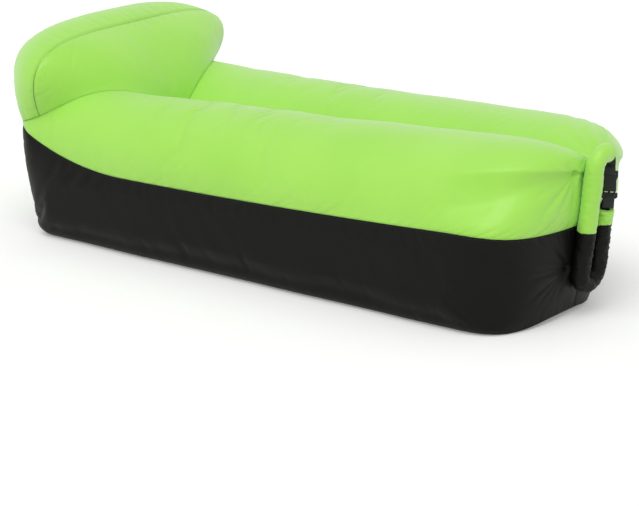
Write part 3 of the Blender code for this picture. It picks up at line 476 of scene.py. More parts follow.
def ripple(s, shortest, longest, seed):
    """Smooth random wave along a line, from about -1 to 1."""
    random = np.random.default_rng(seed)
    lengths = np.exp(random.uniform(math.log(shortest), math.log(longest), SEAM_WAVES))
    phases = random.uniform(0, 2 * math.pi, SEAM_WAVES)
    waves = [np.sin(2 * math.pi * s / length + phase) for length, phase in zip(lengths, phases)]
    return sum(waves) / math.sqrt(SEAM_WAVES / 2) / WAVE_PEAK


def rough(points, size, seed):
    """Smooth random bumps in space, from about -1 to 1."""
    random = np.random.default_rng(seed)
    total = 0
    for _ in range(SPACE_WAVES):
        direction = random.normal(size=3)
        direction /= np.linalg.norm(direction)
        length = size * random.uniform(0.7, 1.6)
        phase = random.uniform(0, 2 * math.pi)
        total = total + np.sin(2 * math.pi * (points @ direction) / length + phase)
    return total / math.sqrt(SPACE_WAVES / 2) / WAVE_PEAK


def reaches(grid):
    """Distances along the cloth from the first row and column, and to the last ones."""
    from_row = run(grid)
    from_column = run(grid.transpose(1, 0, 2)).T
    return from_row, from_row[-1:] - from_row, from_column, from_column[:, -1:] - from_column


def pucker(distance, s, settings, seed, tucked):
    """Depth of the tuck and the small puckers that a seam draws into the cloth beside it."""
    tuck = tucked * settings.seam_depth * np.exp(-distance / settings.seam_width)
    reach = settings.pucker_reach * (1 + 0.6 * ripple(s, *REACH_LENGTHS, seed + 1))
    wave = np.clip(ripple(s, *PUCKER_LENGTHS, seed) + 0.25, 0, 2) ** 1.4
    start = distance / (distance + settings.seam_width)
    fade = np.exp(-distance / np.maximum(reach, 0.004))
    return tuck + settings.pucker_depth * wave * start * fade


def dress(grid, facing, settings, seed, seams, strengths=(1, 1, 1, 1), tucks=(0, 0, 0, 0)):
    """Give a smooth grid of points its seam tucks, puckers and soft unevenness.

    Only a seam between two covers in one plane is tucked in, since both then move the same way.
    """
    first, last, left, right = reaches(grid)
    depth = 0
    for i, (distance, s) in enumerate(((first, left), (last, left), (left, first), (right, first))):
        if seams[i]:
            depth = depth + strengths[i] * pucker(distance, s, settings, seed + 10 * i, tucks[i])
    free = 1
    for i, distance in enumerate((first, last, left, right)):
        free = free * (1 - np.exp(-distance / HELD_REACH)) if seams[i] else free
    uneven = settings.unevenness * rough(grid, SWELL_LENGTH, seed + 5) * free
    uneven = uneven + settings.unevenness / 4 * rough(grid, RIPPLE_LENGTH, seed + 6) * free
    return grid - grid_normals(grid) * (facing * (depth - uneven))[..., None]


def cloth_object(name, grid, facing, material, seams):
    """A cover made of a grid of points on its outer face, with its weave map but no wall yet."""
    rows, columns = grid.shape[:2]
    faces = []
    for i in range(rows - 1):
        for a in range(i * columns, (i + 1) * columns - 1):
            faces.append((a, a + columns, a + columns + 1, a + 1)[::facing])
    first, last, left, right = reaches(grid)
    flat = np.stack([first, left], -1).reshape(-1, 2)[np.ravel(faces)]
    made = woven_piece(name, grid, faces, flat, material)
    close = 0
    for used, distance in zip(seams, (first, last, left, right)):
        close = np.maximum(close, np.exp(-distance / SEAM_SHADE_REACH)) if used else close
    near = made.data.attributes.new("near_seam", "FLOAT", "POINT")
    values = np.broadcast_to(close, (rows, columns)).ravel()
    near.data.foreach_set("value", values.astype(np.float32))
    return made


def settle(made, pins, growth, pressure, caps):
    """Let a cover settle as cloth that is a little larger than its seams, then keep the result."""
    group = made.vertex_groups.new(name="sewn")
    group.add([int(i) for i in np.flatnonzero(pins)], 1.0, "REPLACE")
    step = made.modifiers.new("Cloth", "CLOTH")
    for key, value in CLOTH_PHYSICS.items():
        setattr(step.settings, key, value)
    step.settings.use_pressure = True
    step.settings.uniform_pressure_force = pressure
    step.settings.shrink_min = -growth
    step.settings.vertex_group_mass = "sewn"
    step.settings.effector_weights.gravity = 0
    step.collision_settings.use_collision = False
    step.point_cache.frame_start = 1
    step.point_cache.frame_end = SETTLING_FRAMES
    scene = bpy.context.scene
    for number in range(1, SETTLING_FRAMES + 1):
        scene.frame_set(number)
    before = np.array([v.co for v in made.data.vertices])
    evaluated = made.evaluated_get(bpy.context.evaluated_depsgraph_get())
    after = np.array([v.co for v in evaluated.data.vertices])
    move = after - before
    length = np.linalg.norm(move, axis=1, keepdims=True)
    move *= np.minimum(1, caps.reshape(-1, 1) / np.maximum(length, 1e-9))
    made.modifiers.remove(step)
    made.vertex_groups.remove(group)
    set_points(made, before + move)
    scene.frame_set(1)
    print(made.name, "settled by up to", round(float(length.max()) * 1000, 1), "mm")


def finished(made, thickness=0):
    """Give a piece its wall, if it has one, and apply its modifiers, so that it is a plain mesh."""
    if thickness:
        wall = made.modifiers.new("Wall", "SOLIDIFY")
        wall.thickness = thickness
        wall.offset = -1.0
    evaluated = made.evaluated_get(bpy.context.evaluated_depsgraph_get())
    mesh = bpy.data.meshes.new_from_object(evaluated)
    made.modifiers.clear()
    made.data = mesh
    mesh.shade_smooth()
    return made


def long_stations(count, side):
    """Shares of the body's length in even steps along its side, closer together at the foot."""
    share = 0.5 - 0.5 * np.cos(np.linspace(0, math.pi, 6000))
    x = share * BODY_LENGTH
    steps = np.linalg.norm(np.diff(side_point(x, 0.8 + 0 * x, side), axis=0), axis=1)
    steps *= 1 + np.clip((x[1:] - NEAR_FOLD[1] + 0.1) / 0.2, 0, 1)
    reach = np.concatenate([[0], np.cumsum(steps)])
    return np.interp(np.linspace(0, reach[-1], count), reach, share)


def close_ends(count, start_gap, end_gap, length, ease=0.6):
    """Shares of a stretch from one gap to the other, closer together at both ends."""
    even = np.linspace(0, 1, count)
    eased = even - ease * np.sin(2 * math.pi * even) / (2 * math.pi)
    low, high = start_gap / length, 1 - end_gap / length
    return low + (high - low) * eased


def smooth_step(share):
    """Rises smoothly from 0 to 1 as the share does."""
    share = np.clip(share, 0, 1)
    return share ** 2 * (3 - 2 * share)


def big_fold(grid, x, turn, facing, fold):
    """Press the big fold of a top cover in, with a sharp ridge and a soft valley below it."""
    deepest, begin, full, stations, ridges, valleys = fold
    ridge = np.interp(x, stations, ridges)
    valley = np.interp(x, stations, valleys)
    share = np.clip((ridge - turn) / (ridge - valley), 0, 1)
    below = 1 - smooth_step((valley - turn) / (FOLD_SOFTNESS * valley))
    left = np.clip((BODY_LENGTH - x) / NEAR_END_LENGTH, 0, 1)
    strength = smooth_step((x - begin) / (full - begin)) * rounded(left, END_POWER)
    depth = deepest * strength * share * (2 - share) * below
    return grid - grid_normals(grid) * (facing * depth)[..., None]


def fan(grid, facing, spot, turn, creases):
    """Press creases that run out from a gathered spot, laid out as seen level from one side."""
    away = grid - np.array(spot)
    across = away[..., 0] * math.cos(turn) + away[..., 1] * math.sin(turn)
    depth = 0
    for degrees, length, deep in creases:
        angle = math.radians(degrees)
        reach = across * math.cos(angle) + away[..., 2] * math.sin(angle)
        offset = away[..., 2] * math.cos(angle) - across * math.sin(angle)
        share = np.clip(reach / length, 0, 1)
        width = CREASE_WIDTH + CREASE_SPREAD * share
        lip = np.exp(-((offset - LIP_OFFSET * width) / (LIP_WIDTH * width)) ** 2)
        line = np.exp(-(offset / width) ** 2) - LIP_HEIGHT * lip
        depth = depth + deep * CREASE_GAIN * share ** 0.35 * (1 - share) ** 1.1 * line
    depth = depth * smooth_step((CREASE_REACH - np.linalg.norm(away, axis=-1)) / CREASE_FADE)
    return grid - grid_normals(grid) * (facing * depth)[..., None]


# Rolled mouth and webbing

def ring_x(z):
    """Where the roll lies, just clear of the leaning foot wall."""
    return BODY_LENGTH + FOOT_LEAN * (z / NECK_TOP - FOOT_PIVOT_SHARE) + ROLL_RADIUS + GAP


def arc_points(centre_y, centre_z, radius, start, end, count):
    """Points on an arc in the ring's upright plane, without the first one."""
    angles = np.radians(np.linspace(start, end, count + 1))[1:]
    return [(centre_y + radius * math.cos(a), centre_z + radius * math.sin(a)) for a in angles]


def straight(y, start, end, count):
    """Points up or down one leg of the ring, without the first one."""
    return [(y, z) for z in np.linspace(start, end, count + 1)[1:]]


def ring_stretches():
    """Middle line of the roll as points, in its upper, lower and end colour stretches."""
    leg = LEG_SPACING / 2
    top_y = -leg + RING_TOP_RADIUS
    high = RING_TOP - RING_TOP_RADIUS
    low = RING_BOTTOM + leg
    upper = [(y, RING_TOP) for y in np.linspace(ROLL_END_NEAR, top_y, 6)]
    upper += arc_points(top_y, high, RING_TOP_RADIUS, 90, 180, 16)
    upper += straight(-leg, high, NEAR_COLOUR_CHANGE, 46)
    lower = [(-leg, NEAR_COLOUR_CHANGE)] + straight(-leg, NEAR_COLOUR_CHANGE, low, 34)
    lower += arc_points(0, low, leg, 180, 360, 30)
    lower += straight(leg, low, FAR_COLOUR_CHANGE, 36)
    end = [(leg, FAR_COLOUR_CHANGE)] + straight(leg, FAR_COLOUR_CHANGE, ROLL_END_FAR, 12)
    return [np.array([(ring_x(z), y, z) for y, z in line]) for line in (upper, lower, end)]


def spiral_profile():
    """Section of the rolled cloth: its outer end faces the body, the inner one a stiffener."""
    turns = np.linspace(0, ROLL_TURNS, round(ROLL_TURNS * ROLL_SIDES) + 1)
    radius = ROLL_RADIUS - ROLL_CLOTH / 2 - ROLL_PITCH * turns
    angle = math.pi + 2 * math.pi * turns
    line = np.stack([radius * np.cos(angle), radius * np.sin(angle)], -1)
    tangent = np.gradient(line, axis=0)
    tangent /= np.linalg.norm(tangent, axis=1, keepdims=True)
    side = np.stack([tangent[:, 1], -tangent[:, 0]], -1) * ROLL_CLOTH / 2
    return np.concatenate([line + side, (line - side)[::-1]])


def sweep(name, path, widths, profile, material):
    """A closed profile carried along a path, with its first axis held along the given widths."""
    tangents = np.gradient(path, axis=0)
    tangents /= np.linalg.norm(tangents, axis=1, keepdims=True)
    widths = np.broadcast_to(widths, path.shape)
    first = widths - tangents * np.sum(widths * tangents, axis=1, keepdims=True)
    first /= np.linalg.norm(first, axis=1, keepdims=True)
    second = np.cross(tangents, first)
    profile = np.asarray(profile)
    rings = first[:, None] * profile[None, :, :1]
    rings = path[:, None] + rings + second[:, None] * profile[None, :, 1:]
    count = len(profile)
    last = (len(path) - 1) * count
    faces = [tuple(range(count))[::-1], tuple(range(last, last + count))]
    steps = run(path)
    around = run(np.concatenate([profile, profile[:1]]))
    flat = [(0, 0)] * (2 * count)
    for i in range(len(path) - 1):
        for j in range(count):
            k = (j + 1) % count
            faces.append((i * count + j, i * count + k, (i + 1) * count + k, (i + 1) * count + j))
            flat += [(steps[i], around[j]), (steps[i], around[j + 1]),
                     (steps[i + 1], around[j + 1]), (steps[i + 1], around[j])]
    return woven_piece(name, rings, faces, flat, material)


def crumple(made, amount, size, seed, squeeze=(1, 1, 1), sharp=1.0):
    """Push a piece's points about by random folds, which are sharper with a higher power."""
    points = np.array([v.co for v in made.data.vertices])
    shaped = points * np.array(squeeze)
    move = np.stack([rough(shaped, size, seed + i) for i in range(3)], -1)
    move = np.sign(move) * (1 - (1 - np.clip(np.abs(move), 0, 1)) ** sharp)
    set_points(made, points + amount * move)


def smooth_line(points, widths, count):
    """A line and its width directions, drawn smoothly through the given points."""
    points = np.array([tuple(p) for p in points])
    widths = np.array([tuple(w) for w in widths])
    steps = np.maximum(np.linalg.norm(np.diff(points, axis=0), axis=1), 1e-6)
    reach = np.concatenate([[0], np.cumsum(steps)])
    slopes = np.gradient(points, reach, axis=0)
    marks = np.linspace(0, reach[-1], count)
    index = np.clip(np.searchsorted(reach, marks, side="right") - 1, 0, len(points) - 2)
    span = (reach[index + 1] - reach[index])[:, None]
    t = ((marks - reach[index])[:, None]) / span
    ease = 3 * t ** 2 - 2 * t ** 3
    line = (1 - ease) * points[index] + ease * points[index + 1]
    line += ((t ** 3 - 2 * t ** 2 + t) * slopes[index] + (t ** 3 - t ** 2) * slopes[index + 1]) * span
    return line, widths[index] * (1 - t) + widths[index + 1] * t


def buckle_matrix():
    """Frame of the buckle: origin at the socket's mouth, Z up the webbing, -Y out of its face."""
    x = ring_x(BUCKLE_MOUTH_HEIGHT) + BUCKLE_OFFSET
    spot = Vector((x, LEG_SPACING / 2, BUCKLE_MOUTH_HEIGHT))
    return Matrix.Translation(spot) @ Matrix.Rotation(BUCKLE_YAW, 4, "Z")


def upper_line():
    """Webbing from the roll's upper end, round the socket's bar and sewn back on itself."""
    place_buckle = buckle_matrix()
    across = place_buckle.to_3x3() @ Vector((1, 0, 0))
    bar = SOCKET_THICKNESS / 2 + WEBBING / 2 + GAP
    slot = SOCKET_LENGTH - SLOT_MARGIN - SLOT_HEIGHT / 2
    turn = (SLOT_HEIGHT - WEBBING) / 2
    sewn = SOCKET_LENGTH + 4 * turn + bar
    top = SOCKET_LENGTH + turn
    front = [(-WEBBING, sewn), (-bar, top), (-bar, slot + turn), (turn - bar, slot)]
    back = [(bar - turn, slot), (bar, slot + turn), (bar, top), (WEBBING, sewn)]
    line = [(place_buckle @ Vector((0, y, z)), across) for y, z in front + back]
    end = Vector((ring_x(RING_TOP), ROLL_END_NEAR, RING_TOP))
    last = line[-1][0]
    steps = 5
    level = Vector((1, 0, 0))
    for i in range(1, steps + 1):
        angle = math.pi / 2 * i / steps
        y = last.y + (end.y - last.y) * (1 - math.cos(angle))
        z = last.z + (RING_TOP - last.z) * math.sin(angle)
        share = i / steps
        line.append((Vector((last.x + (end.x - last.x) * share, y, z)), across.lerp(level, share)))
    line.append((Vector((end.x, end.y - WEBBING_INSERT, RING_TOP)), level))
    return line


def lower_line():
    """Webbing from the roll's lower end, round the plug's bar, with its free tail in front."""
    place_buckle = buckle_matrix()
    across = place_buckle.to_3x3() @ Vector((1, 0, 0))
    bar = PLUG_THICKNESS / 2 + WEBBING / 2 + GAP
    bottom = -PLUG_CLEARANCE - PLUG_LENGTH
    slot = bottom + PLUG_BAR + SLOT_HEIGHT / 2
    turn = (SLOT_HEIGHT - WEBBING) / 2
    roll_end = ROLL_END_FAR - BUCKLE_MOUTH_HEIGHT
    tail = bottom + (roll_end - bottom) * TAIL_SHARE
    front = [(-bar - 4 * WEBBING, tail), (-bar - WEBBING, (tail + bottom) / 2)]
    front += [(-bar, slot - turn), (turn - bar, slot)]
    back = [(bar - turn, slot), (bar, slot - turn), (bar, bottom - turn)]
    line = [(place_buckle @ Vector((0, y, z)), across) for y, z in front + back]
    for z in (ROLL_END_FAR, ROLL_END_FAR - WEBBING_INSERT):
        line.append((Vector((ring_x(z), LEG_SPACING / 2, z)), Vector((1, 0, 0))))
    return line


def strap(name, line, material):
    """Flat webbing with rounded edges along a line."""
    path, widths = smooth_line([p for p, w in line], [w for p, w in line], 90)
    half, thin = WEBBING_WIDTH / 2, WEBBING / 2
    flat = half - thin
    turns = np.radians(np.linspace(-90, 90, 7))
    edge = [(flat + thin * math.cos(a), thin * math.sin(a)) for a in turns]
    top = [(x, thin) for x in np.linspace(flat, -flat, 12)[1:-1]]
    profile = edge + top + [(-x, -y) for x, y in edge] + [(-x, -y) for x, y in top]
    return sweep(name, path, widths, profile, material)


# Materials

# Where a Mix node that blends colours keeps its two colours and its result
COLOUR_A, COLOUR_B, MIXED = 6, 7, 2


def linear(code):
    """A linear colour from an sRGB hex value."""
    parts = [int(code[i:i + 2], 16) / 255 for i in (0, 2, 4)]
    return [*(p / 12.92 if p <= 0.04045 else ((p + 0.055) / 1.055) ** 2.4 for p in parts), 1.0]


def add(tree, kind, links=None, values=None, **settings):
    """Add a node with its settings, values and links to earlier sockets, and return its outputs."""
    node = tree.nodes.new(kind)
    for key, value in settings.items():
        setattr(node, key, value)
    for key, value in (values or {}).items():
        node.inputs[key].default_value = value
    for key, socket in (links or {}).items():
        tree.links.new(socket, node.inputs[key])
    return node.outputs


def plug(tree, socket, name):
    """Link a socket to an input of the tree's Principled shader."""
    tree.links.new(socket, tree.nodes["Principled BSDF"].inputs[name])


def start_material(name, dark, pale, roughness, on_cloth=False, **sockets):
    """A Principled material's tree, its two colours for a Mix node, and where its pattern lies.

    What is the same all over is set on the shader's own sockets.
    """
    material = bpy.data.materials.new(name)
    material.use_nodes = True
    tree = material.node_tree
    for key, value in {"Roughness": roughness, **sockets}.items():
        tree.nodes["Principled BSDF"].inputs[key.replace("_", " ")].default_value = value
    if on_cloth:
        place_at = add(tree, "ShaderNodeUVMap", uv_map="weave")["UV"]
    else:
        place_at = add(tree, "ShaderNodeTexCoord")["Object"]
    return tree, {COLOUR_A: linear(dark), COLOUR_B: linear(pale)}, place_at


def colour_and_raise(tree, colours, tone, height, strength, distance):
    """Colour a material by one pattern and raise its surface by another, or by the same one."""
    mixed = add(tree, "ShaderNodeMix", {0: tone}, colours, data_type="RGBA")
    plug(tree, mixed[MIXED], "Base Color")
    raised = add(tree, "ShaderNodeBump", {"Height": height},
                 {"Strength": strength, "Distance": distance})
    plug(tree, raised["Normal"], "Normal")


def bands(spacing):
    """Scale of a wave texture whose bands lie that far apart."""
    return 2 * math.pi / 20 / spacing


def taffeta(name, dark, pale, seam, look, roughness, sheen, gloss):
    """Coated polyester taffeta: a fine plain weave under a thin coat that gives it a soft gloss.

    The real threads are about 0.2 mm apart, which is too fine to show, so they are drawn at 1.1 mm.
    """
    tree, colours, place_at = start_material(name, dark, pale, roughness, Sheen_Weight=sheen,
                                             Sheen_Roughness=0.5, IOR=1.5, Specular_IOR_Level=gloss)
    cloth = add(tree, "ShaderNodeUVMap", uv_map="weave")["UV"]
    wave = {"Scale": bands(look.weave), "Distortion": 0.6, "Detail": 1.0, "Detail Scale": 0.4}
    threads = [add(tree, "ShaderNodeTexWave", {"Vector": cloth}, wave, bands_direction=way)["Fac"]
               for way in ("X", "Y")]
    grid = add(tree, "ShaderNodeMath", {0: threads[0], 1: threads[1]}, operation="MAXIMUM")[0]
    broad = add(tree, "ShaderNodeTexNoise", {"Vector": place_at},
                {"Scale": 3.2, "Detail": 3.0, "Roughness": 0.5})["Fac"]
    fine = add(tree, "ShaderNodeTexNoise", {"Vector": cloth},
               {"Scale": 900.0, "Detail": 2.0, "Roughness": 0.6})["Fac"]
    # Fine speck of tone, random strength of the painted seam shade, and roughness that varies over
    # the cloth.
    speck, painted_seam_shade_strength, rub = [
        add(tree, "ShaderNodeMapRange", {"Value": value},
            {"From Min": low, "From Max": 1 - low, "To Min": least, "To Max": most})["Result"]
        for value, low, least, most in ((fine, 0.3, -0.12, 0.12), (fine, 0.35, 0.1, 0.55),
                                        (broad, 0.3, roughness - 0.05, roughness + 0.07))]
    tone = add(tree, "ShaderNodeMath", {0: broad, 1: speck}, operation="ADD")[0]
    colour = add(tree, "ShaderNodeMix", {0: tone}, colours, data_type="RGBA")[MIXED]
    # Painted shade along the seams: a thin line beside each seam is darkened toward the seam colour,
    # by a strength that varies at random, where shade falls in the seam's fold.
    near = add(tree, "ShaderNodeAttribute", attribute_name="near_seam")["Fac"]
    line = add(tree, "ShaderNodeMath", {0: near}, {1: 14.0}, operation="POWER")[0]
    shade = add(tree, "ShaderNodeMath", {0: line, 1: painted_seam_shade_strength}, operation="MULTIPLY")[0]
    sewn = add(tree, "ShaderNodeMix", {0: shade, COLOUR_A: colour}, {COLOUR_B: linear(seam)},
               data_type="RGBA")[MIXED]
    plug(tree, sewn, "Base Color")
    plug(tree, rub, "Roughness")
    warp = add(tree, "ShaderNodeTexNoise", {"Vector": place_at},
               {"Scale": 34.0, "Detail": 4.0, "Roughness": 0.55, "Distortion": 0.7})["Fac"]
    amount = add(tree, "ShaderNodeMath", {0: near}, {1: 0.75, 2: 0.25}, operation="MULTIPLY_ADD")[0]
    creases = add(tree, "ShaderNodeMath", {0: warp, 1: amount}, operation="MULTIPLY")[0]
    soft = add(tree, "ShaderNodeBump", {"Height": creases},
               {"Strength": 0.6, "Distance": look.crinkle})
    woven = add(tree, "ShaderNodeBump", {"Height": grid, "Normal": soft["Normal"]},
                {"Strength": 0.35, "Distance": look.weave / 9})
    plug(tree, woven["Normal"], "Normal")


def woven_webbing(name, dark, pale):
    """Polypropylene webbing: coarse flat yarns with a rib every 1.5 mm, dry and a little shiny."""
    tree, colours, cloth = start_material(name, dark, pale, 0.55, True, Sheen_Weight=0.15, IOR=1.49)
    rib, yarn = [add(tree, "ShaderNodeTexWave", {"Vector": cloth},
                     {"Scale": bands(spacing), "Distortion": 0.5}, bands_direction=way)["Fac"]
                 for way, spacing in (("X", 0.0015), ("Y", 0.0021))]
    both = add(tree, "ShaderNodeMath", {0: rib, 1: yarn}, operation="MULTIPLY")[0]
    fuzz = add(tree, "ShaderNodeTexNoise", {"Vector": cloth}, {"Scale": 1400.0, "Detail": 2.0})
    tone = add(tree, "ShaderNodeMath", {0: both, 1: fuzz["Fac"]}, operation="MULTIPLY")[0]
    colour_and_raise(tree, colours, tone, both, 0.8, 0.0005)


def moulded_acetal(name, dark, pale):
    """Acetal, moulded in a fine spark-eroded tool: hard, slightly waxy, with faint rubbed patches."""
    tree, colours, place_at = start_material(name, dark, pale, 0.38, IOR=1.48)
    grain, rubbed = [add(tree, "ShaderNodeTexNoise", {"Vector": place_at},
                         {"Scale": scale, "Detail": detail})["Fac"]
                     for scale, detail in ((1800.0, 2.0), (90.0, 4.0))]
    gloss = add(tree, "ShaderNodeMapRange", {"Value": rubbed},
                {"From Min": 0.35, "From Max": 0.65, "To Min": 0.3, "To Max": 0.46})
    plug(tree, gloss["Result"], "Roughness")
    colour_and_raise(tree, colours, rubbed, grain, 0.25, 0.0001)


def blown_film(name, dark, pale):
    """Low-density polyethylene film, blown thin: milky, slick, with slack creases."""
    tree, colours, place_at = start_material(name, dark, pale, 0.3, IOR=1.51,
                                             Transmission_Weight=0.25)
    crease = add(tree, "ShaderNodeTexNoise", {"Vector": place_at},
                 {"Scale": 18.0, "Detail": 5.0, "Distortion": 1.2})["Fac"]
    colour_and_raise(tree, colours, crease, crease, 0.7, 0.004)


def woven_tape(name, dark, pale):
    """Woven polyester seam tape and stiffening strip: matt, with a fine twill drawn at 1.2 mm."""
    tree, colours, place_at = start_material(name, dark, pale, 0.7, Sheen_Weight=0.1, IOR=1.5)
    twill = add(tree, "ShaderNodeTexWave", {"Vector": place_at},
                {"Scale": bands(0.0012), "Distortion": 0.8}, bands_direction="DIAGONAL")["Fac"]
    colour_and_raise(tree, colours, twill, twill, 0.4, 0.0003)


def sewing_thread(name, dark, pale):
    """Spun polyester sewing thread: matt, in its cloth's colour, with its twist showing."""
    tree, colours, place_at = start_material(name, dark, pale, 0.6, IOR=1.5)
    ply = add(tree, "ShaderNodeTexNoise", {"Vector": place_at},
              {"Scale": 1500.0, "Detail": 1.0})["Fac"]
    colour_and_raise(tree, colours, ply, ply, 0.5, 0.0002)


def finish(name):
    """The finish of that name, made once."""
    if name in bpy.data.materials:
        return bpy.data.materials[name]
    look = bpy.context.scene.lounger_finish
    lime = (look.lime_dark, look.lime_pale, look.lime_seam_shade)
    black = (look.black_dark, look.black_pale, look.black_seam_shade)
    makers = {
        "lime_coated_taffeta": (taffeta, *lime, look, 0.4, 0.35, 0.5),
        "black_coated_taffeta": (taffeta, *black, look, 0.46, 0.0, 0.13),
        "black_polypropylene_webbing": (woven_webbing, "0b0b0c", "2a2a2b"),
        "black_acetal": (moulded_acetal, "0f0f10", "19191a"),
        "milky_polyethylene_film": (blown_film, "dadedf", "f2f4f4"),
        "white_woven_tape": (woven_tape, "cdd0d1", "eef0f0"),
        "lime_sewing_thread": (sewing_thread, "74b838", "9edc5c"),
        "black_sewing_thread": (sewing_thread, "131310", "2c2c28"),
    }
    maker, *values = makers[name]
    maker(name, *values)
    return bpy.data.materials[name]


# Settings

def number_setting(name, description, default, **more):
    """A setting for a number."""
    return FloatProperty(name=name, description=description, default=default, **more)


def length_setting(name, description, default, least=0.0):
    """A setting for a length in metres."""
    return number_setting(name, description, default, min=least, unit="LENGTH")


def colour_setting(name, description, default):
    """A setting for an sRGB hex colour."""
    return StringProperty(name=name, description=description + ", as sRGB hex", default=default)


class LoungerCloth(bpy.types.PropertyGroup):
    """How the filled cloth is drawn in at its seams."""

    seam_depth: length_setting("Seam depth", "How deep each seam draws the cloth in", 0.0016)
    seam_width: length_setting("Seam width", "How far the tuck beside a seam reaches", 0.0045, 0.0005)
    pucker_depth: length_setting("Pucker depth", "Depth of the small puckers at the seams", 0.0022)
    pucker_reach: length_setting("Pucker reach", "Usual length of the small puckers", 0.024, 0.001)
    unevenness: length_setting("Unevenness", "Height of the soft swells of the filled cloth", 0.0022)
    growth: number_setting("Growth", "How much larger the cloth is cut than the space between seams",
                           0.003, min=0.0, subtype="FACTOR")
    pressure: number_setting("Air pressure", "Push of the air on the cloth while it settles",
                             4.0, min=0.0)
    fineness: IntProperty(name="Fineness", description="Lines of points along one long cover",
                          default=260, min=40)


class LoungerFinish(bpy.types.PropertyGroup):
    """Colours and weave of the cloth."""

    lime_dark: colour_setting("Lime, dark", "Darker lime of the cloth", "97db44")
    lime_pale: colour_setting("Lime, pale", "Paler lime of the cloth", "ace85b")
    # Painted shade: the lime that a thin line along each seam is darkened toward, where shade falls
    # in the seam's fold.
    lime_seam_shade: colour_setting("Lime, seam", "Lime in the fold of a seam", "6ba633")
    black_dark: colour_setting("Black, dark", "Darker black of the cloth", "0b0b09")
    black_pale: colour_setting("Black, pale", "Paler black of the cloth", "12120f")
    # Painted shade: the black that a thin line along each seam is darkened toward, where shade falls
    # in the seam's fold.
    black_seam_shade: colour_setting("Black, seam", "Black in the fold of a seam", "030302")
    weave: length_setting("Weave", "Distance between the drawn threads", 0.0011, 0.0001)
    crinkle: length_setting("Crinkle", "Height of the fine crinkles of the coated cloth", 0.004)


class LoungerStage(bpy.types.PropertyGroup):
    """Light and camera of the stage."""

    world: number_setting("Sky", "Strength of the even light from all round", 0.62, min=0.0)
    key: number_setting("Key lamp", "Strength of the soft lamp above", 1.35, min=0.0)
    turn: number_setting("Camera turn", "Turn of the camera from the near side toward the foot",
                         math.radians(37.81), subtype="ANGLE")
    tilt: number_setting("Camera height", "Height of the camera above the level, as an angle",
                         math.radians(15.31), subtype="ANGLE")
    distance: length_setting("Camera distance", "Distance from the camera to its target", 7.062, 0.1)


# Pieces

def keep(made, slot, *nodes, body="lounger"):
    """Ride a finished piece on its body, and let it stand for its CAD nodes."""
    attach(made, body)
    if nodes:
        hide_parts(*nodes)
    return made


def give_finish(made, material):
    """Give a CAD node its finish in place of the plain one."""
    made.data.materials.clear()
    made.data.materials.append(material)


# Points and facing of each settled cover, for the stitches and the backing beside its edges
SEWN = {}


def cover(panel, grid, facing, colour, seams, settings, shape=None):
    """A cloth cover that has settled between its seams under the air's pressure, then was folded."""
    name = panel + "_cover"
    made = cloth_object(name, grid, facing, finish(colour + "_coated_taffeta"), seams)
    pins = np.ones(grid.shape[:2], bool)
    pins[1:-1, 1:-1] = False
    caps = EDGE_MOVE + (MOST_MOVE - EDGE_MOVE) * smooth_step(grid[..., 2] / CALM_HEIGHT)
    settle(made, pins.ravel(), settings.growth, settings.pressure, caps)
    points = np.empty(grid.size, np.float32)
    made.data.vertices.foreach_get("co", points)
    points = points.reshape(grid.shape) - ORIGIN
    if shape:
        points = shape(points)
        set_points(made, points + ORIGIN)
    SEWN[name] = points, facing
    return keep(finished(made, CLOTH), colour + "_polyester", panel + "_panel")


class AIR_LOUNGER_OT_top_covers(bpy.types.Operator):
    """Build the two lime top covers"""

    bl_idname = "air_lounger.top_covers"
    bl_label = "Top covers"

    def execute(self, context):
        settings = context.scene.lounger_cloth
        tube_arc = math.pi * (CROWN_HEIGHT_HEAD - WIDEST_HEIGHT)
        turns = close_ends(108, CORNER_GAP, GAP / 2, tube_arc)
        seams = (True, False, True, True)
        for name, side, seed, fold, spot, creases in (
                ("near_top", -1, 11, NEAR_FOLD, NEAR_SPOT, NEAR_CREASES),
                ("far_top", 1, 41, FAR_FOLD, FAR_SPOT, FAR_CREASES)):
            t, turn = pairs(long_stations(settings.fineness, side), turns)
            start = head_start(turn)
            x = start + (BODY_LENGTH - start) * t
            facing = -side
            grid = dress(top_point(x, turn, side), facing, settings, seed, seams,
                         (0.7, 1, 1, 0.8), (0, 0, 1, 0))

            def shape(points):
                folded = big_fold(points, x, turn, facing, fold)
                return fan(folded, facing, spot, SPOT_TURN, creases)
            made = cover(name, grid, facing, "lime", seams, settings, shape)
        return {"FINISHED"}


